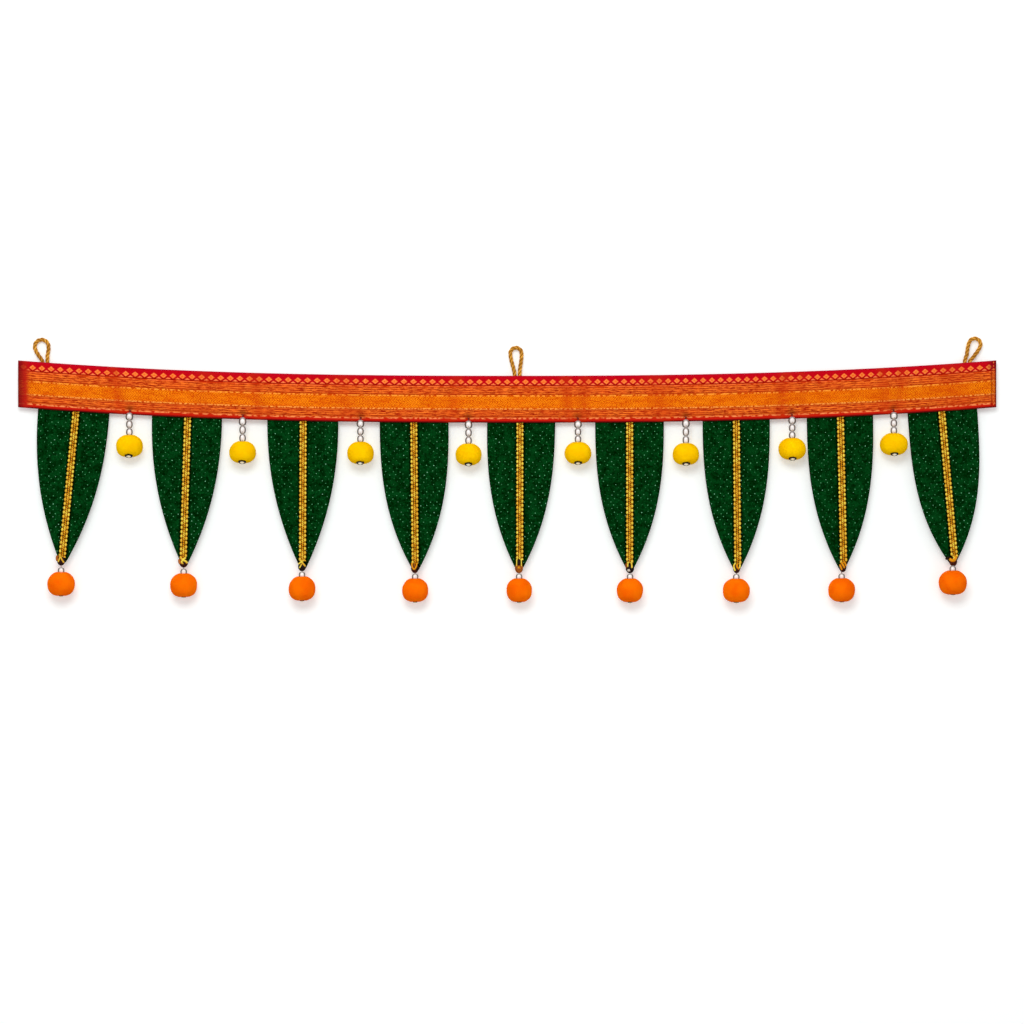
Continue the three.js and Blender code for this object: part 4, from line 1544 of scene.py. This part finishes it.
def yellow_string(yellow, number):
    place = yellow_place(yellow)
    pearls = yellow_pearls(yellow)
    made = [pearl_piece(f"pearl_{number}_{k}", place, *pearl) for k, pearl in enumerate(pearls)]
    top = pearls[0][1] + pearls[0][2]
    stitch = yellow["drop"] + STITCH_UP
    to_band = STRING_OUT - BAND["thickness"] / 2 + PULL_DEPTH
    route = [
        Vector((0, 0, 4 - yellow["tall"] / 2)),
        Vector((0, 0, top - 0.6)),
        Vector((0, to_band * 0.35, top + 0.7)),
        Vector((0, to_band * 0.8, stitch - 0.6)),
        Vector((0, to_band, stitch)),
    ]
    made.append(small_tube(f"thread_{number}", [place + p for p in route], THREAD_RADIUS, RED_THREAD, 0.15))
    knot = [
        Vector((-1.3, to_band - 0.3, stitch + 0.5)),
        Vector((-0.4, to_band - 0.55, stitch + 0.2)),
        Vector((0.5, to_band - 0.5, stitch - 0.1)),
        Vector((1.2, to_band - 0.3, stitch - 0.7)),
    ]
    made.append(small_tube(f"stitch_{number}", [place + p for p in knot], STITCH_RADIUS, RED_THREAD, 0.3))
    return joined(f"yellow_pearls_{number}", made)


def orange_string(leaf, number):
    place = orange_place(leaf)
    ball = leaf["tall"] / 2
    pearl = (TIP_PEARL["radius"], TIP_PEARL["half"], ball + TIP_PEARL["lift"])
    made = [pearl_piece(f"tip_pearl_{number}", place, *pearl)]
    route = [Vector((0, 0, 3 - ball)), Vector((0, 0, ball)), Vector((0, 0, leaf["drop"] - 0.4))]
    thread = [place + p for p in route]
    made.append(small_tube(f"tip_thread_{number}", thread, THREAD_RADIUS, RED_THREAD, 0.25))
    return joined(f"tip_pearl_{number}", made)


yellow_strings = [yellow_string(yellow, number) for number, yellow in enumerate(YELLOWS, 1)]
orange_strings = [orange_string(leaf, number) for number, leaf in enumerate(LEAVES, 1)]
end_beads = []
for number, yellow in enumerate(YELLOWS, 1):
    name = f"end_bead_yellow_{number}"
    end_beads.append(end_bead_piece(name, yellow_place(yellow), yellow, YELLOW_BEAD))
for number, leaf in enumerate(LEAVES, 1):
    name = f"end_bead_orange_{number}"
    end_beads.append(end_bead_piece(name, orange_place(leaf), leaf, ORANGE_BEAD))
print("strings:", len(yellow_strings), "+", len(orange_strings), "end beads:", len(end_beads))

# %% [markdown]
# ## Pompoms
#
# A pompom is wound, tied and trimmed by hand. Its ball is a turned form, round above and a little squarer
# below, with a dimple where the pearl sits and one for the end bead. A few shallow dents and lumps come
# from the trimming. Then the pile tree covers it with short fibres, which bring it to its full size.

# %% Pompoms
PILE_SHORT = 0.3
ROUND_ABOVE = 2.05
ROUND_BELOW = 2.5
BALL_SIDES = 36
BALL_RINGS = 22
PEARL_SEAT = {"depth": 1.3, "yellow": 3.3, "orange": 3.35}
BEAD_SEAT = {"depth": 1.7, "room": 0.2}
BROAD_LUMPS = {"deep": 0.3, "often": 1.6}
FINE_LUMPS = {"deep": 0.12, "often": 5}
ORANGE_SEEDS = 20
DENTS = {"count": 5, "lift": (-0.8, 0.5), "width": (0.1, 0.24), "depth": (0.15, 0.5)}
PILE_SIZES = {"Density": 3.0e6, "Fibre Length": 0.6 * MM, "Fibre Radius": 0.2 * MM, "Lean": 0.35}


def drawn_dents(draw):
    """A few dents, each with its way out from the middle, its width and its depth."""
    dents = []
    for _ in range(DENTS["count"]):
        turn = draw.uniform(0, 2 * math.pi)
        lift = draw.uniform(*DENTS["lift"])
        flat = math.sqrt(1 - lift * lift)
        way = Vector((flat * math.cos(turn), flat * math.sin(turn), lift))
        dents.append((way, draw.uniform(*DENTS["width"]), draw.uniform(*DENTS["depth"])))
    return dents


def ball_profile(half, high, pearl_radius):
    """A ball's profile, with the dimple for its pearl on top."""
    profile = [(0, -high)]
    for k in range(BALL_RINGS + 1):
        angle = -math.pi / 2 + math.pi * (k + 0.35) / (BALL_RINGS + 0.7)
        power = 2 / (ROUND_ABOVE if angle > 0 else ROUND_BELOW)
        radius = half * math.cos(angle) ** power
        height = math.copysign(high * abs(math.sin(angle)) ** power, angle)
        sunk = PEARL_SEAT["depth"] * math.exp(-((radius / pearl_radius) ** 4)) if height > 0 else 0.0
        profile.append((radius, height - sunk))
    return profile + [(0, high - PEARL_SEAT["depth"] - 0.1)]


def pompom_piece(name, place, ball, pearl_radius, bead, seed, material):
    """A pompom. ball has its wide and tall, and bead is the end bead that is pressed into it."""
    half = ball["wide"] / 2 - PILE_SHORT
    high = ball["tall"] / 2 - PILE_SHORT
    points, faces = turned_form(ball_profile(half, high, pearl_radius), BALL_SIDES)
    dents = drawn_dents(random.Random(seed))
    tilt = math.radians(bead["tilt"])
    bead_way = Vector((0, -math.sin(tilt), -math.cos(tilt)))
    seat_radius = bead["radius"] + BEAD_SEAT["room"]
    shaped = []
    for p in points:
        out = p.normalized()
        share = (Vector((p.x, p.y, 0)).length / half) ** 2
        lump = BROAD_LUMPS["deep"] * noise.noise(out * BROAD_LUMPS["often"] + Vector((seed, 0, 0)))
        lump += FINE_LUMPS["deep"] * noise.noise(out * FINE_LUMPS["often"] + Vector((0, seed, 0)))
        for way, width, depth in dents:
            lump -= depth * math.exp(-((out - way).length / width) ** 2)
        seat = BEAD_SEAT["depth"] * math.exp(-((out - bead_way).length * high / seat_radius) ** 4)
        shaped.append(p + out * (lump * min(1.0, share * 2) - seat) + place)
    piece = new_piece(name, shaped, faces, material)
    return run_tree(piece, PILE, {**PILE_SIZES, "Seed": seed, "Material": material})


yellow_pompoms = []
for number, yellow in enumerate(YELLOWS, 1):
    where = yellow_place(yellow)
    seat = PEARL_SEAT["yellow"]
    made = pompom_piece(f"yellow_wool_{number}", where, yellow, seat, YELLOW_BEAD, number, YELLOW_WOOL)
    yellow_pompoms.append(made)
orange_pompoms = []
for number, leaf in enumerate(LEAVES, 1):
    where = orange_place(leaf)
    seat = PEARL_SEAT["orange"]
    seed = ORANGE_SEEDS + number
    made = pompom_piece(f"orange_wool_{number}", where, leaf, seat, ORANGE_BEAD, seed, ORANGE_WOOL)
    orange_pompoms.append(made)
print("triangles of a pompom:", sum(len(p.vertices) - 2 for p in orange_pompoms[0].data.polygons))

# %% [markdown]
# ## Sewing
#
# Stitches hold it all together: a seam down the band's right end, a row behind the band where each leaf
# is sewn on, and a few bars over the legs of each loop. They are rows of thread along short paths.


# %% Stitches
def stitch_row(name, points, material, pitch=3.4, length=2.2, radius=0.22):
    piece = path_piece(name, points)
    settings = {"Pitch": pitch * MM, "Stitch Length": length * MM, "Thread Radius": radius * MM,
                "Material": material}
    return run_tree(piece, STITCHES, settings)


def band_point(x, down, out):
    return Vector((x, sway(x) + out, bow(x) - down))


FRONT_FACE = -BAND["thickness"] / 2
BACK_FACE = BAND["thickness"] / 2
END_SEAM = {"x": 479.7, "top": 2.0, "step": 4.1, "count": 11, "radius": 0.5}
LEAF_SEAM = {"short": 8.0, "below_edge": 2.4, "out": 0.05}
LOOP_SEAM = {"downs": (2.4, 4.6, 6.8), "half_width": 5.2, "slant": 0.5, "sunk": 0.5}
LOOP_STITCH = {"pitch": 2.6, "length": 2.4, "radius": 0.24}
sewing = []
downs = [END_SEAM["top"] + k * END_SEAM["step"] for k in range(END_SEAM["count"])]
seam = [band_point(END_SEAM["x"], down, FRONT_FACE) for down in downs]
sewing.append(stitch_row("seam_right", seam, SEAM_ORANGE, radius=END_SEAM["radius"]))
for number, leaf in enumerate(LEAVES, 1):
    row = []
    for k in range(13):
        across = (k / 12 - 0.5) * (leaf["width"] - LEAF_SEAM["short"])
        away = max(0.0, abs(across) - LEAF["rib"]) / (leaf["width"] / 2 - LEAF["rib"])
        depth = RIB_FRONT - (RIB_FRONT - EDGE_FRONT) * away + LEAF["thickness"] + LEAF_SEAM["out"]
        row.append(on_leaf(leaf, across, -LEAF["tuck"] + LEAF_SEAM["below_edge"], depth))
    sewing.append(stitch_row(f"leaf_seam_{number}", row, RED_THREAD))
for loop in LOOPS:
    behind = BACK_FACE + GAP + 2 * CORD["radius"] + 0.1
    for k, down in enumerate(LOOP_SEAM["downs"]):
        row = []
        for side in (-1, 0, 1):
            x = loop["x"] + side * LOOP_SEAM["half_width"]
            out = behind - abs(side) * LOOP_SEAM["sunk"]
            row.append(band_point(x, down + side * LOOP_SEAM["slant"], out))
        sewing.append(stitch_row(f"loop_seam_{loop['name']}_{k}", row, RED_THREAD, **LOOP_STITCH))
stitches = joined("stitches", sewing)
print("stitch triangles:", sum(len(p.vertices) - 2 for p in stitches.data.polygons))

# %% [markdown]
# ## Joining the pieces to the model
#
# Each piece rides on the model's body and stands for the solid that it covers. A leaf isn't a rectangle,
# so its flat area is worked out from its outline.


# %% Ride and replace
def dress(piece, slot, *nodes):
    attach(piece, BODY)
    if nodes:
        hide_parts(*nodes)


def leaf_area(leaf):
    reach = LEAF["tuck"] + leaf["length"] - LEAF["short"]
    steps = 200
    area = 0.0
    for k in range(steps):
        along = reach * (k + 0.5) / steps - LEAF["tuck"]
        area += 2 * leaf_half(leaf, along) * reach / steps
    return area * MM * MM


dress(band, "band_cloth", "band")
for number, leaf in enumerate(LEAVES, 1):
    dress(leaf_pieces[number - 1], "leaf_cloth", f"leaf_{number}")
    cut = (leaf["width"] * MM, (LEAF["tuck"] + leaf["length"] - LEAF["short"]) * MM)
    leaf_pieces[number - 1]
    leaf_area(leaf)
    dress(braid_pieces[number - 1], "gold_braid", f"braid_{number}")
    dress(orange_strings[number - 1], "pearl_bead", f"orange_string_{number}")
    dress(orange_pompoms[number - 1], "orange_wool", f"orange_pompom_{number}")
for number in range(1, len(YELLOWS) + 1):
    dress(yellow_strings[number - 1], "pearl_bead", f"yellow_string_{number}")
    dress(yellow_pompoms[number - 1], "yellow_wool", f"yellow_pompom_{number}")
for bead in end_beads:
    dress(bead, "gold_bead")
for loop, piece in zip(LOOPS, loop_pieces):
    dress(piece, "gold_cord", f"loop_{loop['name']}")
dress(stitches, "gold_braid")
print("a leaf's flat area, cm2:", round(leaf_area(LEAVES[0]) * 1e4, 1))

# %% [markdown]
# ## Backdrop and light
#
# The hanging is shown against a white wall close behind it, over a grey floor. The wall leans forward a
# little at the top, so it is as near to the thin band as to the round pompoms. A bright room, lighter
# above than below, does most of the lighting. A large soft lamp from above and in front adds to it, and
# lays the short shadows just below each piece. The wall glows a little, as a lit studio wall does, and it
# is seen only from its front, so that the hanging can be looked at from behind as well.

# %% Wall, floor, light
WALL_AT_TOP = 0.0074
WALL_SLOPE = -0.0405
WALL_GLOW = 0.27
WALL_HALF = 3
WALL_HEIGHT = 1.2
FLOOR_Z = -0.95
FLOOR_HALF = 4


def stage_plane(name, corners, material):
    mesh = bpy.data.meshes.new(name)
    mesh.from_pydata(corners, [], [(0, 1, 2, 3)])
    plane = bpy.data.objects.new(name, mesh)
    mesh.materials.append(material)
    bpy.context.scene.collection.objects.link(plane)
    return plane


def wall_material():
    material, g = new_material("wall_paint")
    white = g.node("ShaderNodeBsdfDiffuse", inputs={"Color": (0.85, 0.9, 0.895, 1)})
    glow = g.node("ShaderNodeEmission", inputs={"Color": (1, 0.96, 0.96, 1), "Strength": WALL_GLOW})
    lit = g.node("ShaderNodeAddShader", inputs={0: white, 1: glow})
    clear = g.node("ShaderNodeBsdfTransparent")
    behind = g.node("ShaderNodeNewGeometry", output="Backfacing")
    shown = g.node("ShaderNodeMixShader", inputs={0: behind, 1: lit, 2: clear})
    g.make("ShaderNodeOutputMaterial", inputs={"Surface": shown})
    return material


def floor_material():
    material, g = new_material("floor_paint")
    surface(g, Base_Color=paint(176, 175, 173), Roughness=0.8)
    return material


ROUND = ((-1, -1), (1, -1), (1, 1), (-1, 1))
wall_corners = []
for side, up in ROUND:
    z = WALL_HEIGHT if up > 0 else FLOOR_Z
    wall_corners.append((side * WALL_HALF, WALL_AT_TOP + WALL_SLOPE * z, z))
stage_plane("wall", wall_corners, wall_material())
floor_corners = [(side * FLOOR_HALF, back * FLOOR_HALF, FLOOR_Z) for side, back in ROUND]
stage_plane("floor", floor_corners, floor_material())

KEY = {"at": (-0.2, -2.2, 0.9), "aim": (0.0, 0.0, -0.1), "width": 1.1, "height": 0.8, "power": 25.0}
ROOM = {"light": 0.62, "more above": 0.3}
key_data = bpy.data.lights.new("key", "AREA")
key_data.shape = "RECTANGLE"
key_data.size = KEY["width"]
key_data.size_y = KEY["height"]
key_data.energy = KEY["power"]
key = bpy.data.objects.new("key", key_data)
key.location = KEY["at"]
key.rotation_euler = (Vector(KEY["aim"]) - Vector(KEY["at"])).to_track_quat("-Z", "Y").to_euler()
bpy.context.scene.collection.objects.link(key)

world = bpy.data.worlds.new("studio")
world.use_nodes = True
sky = Graph(world.node_tree)
_, _, upward = sky.parts(sky.node("ShaderNodeTexCoord", output="Generated"))
backdrop = world.node_tree.nodes["Background"]
sky.join(upward * ROOM["more above"] + ROOM["light"], backdrop.inputs["Strength"])
backdrop.inputs["Color"].default_value = (1, 1, 1, 1)
bpy.context.scene.world = world
bpy.context.scene.view_settings.view_transform = "Standard"
print("wall", WALL_AT_TOP, "m behind the top edge, floor at", FLOOR_Z, "m")
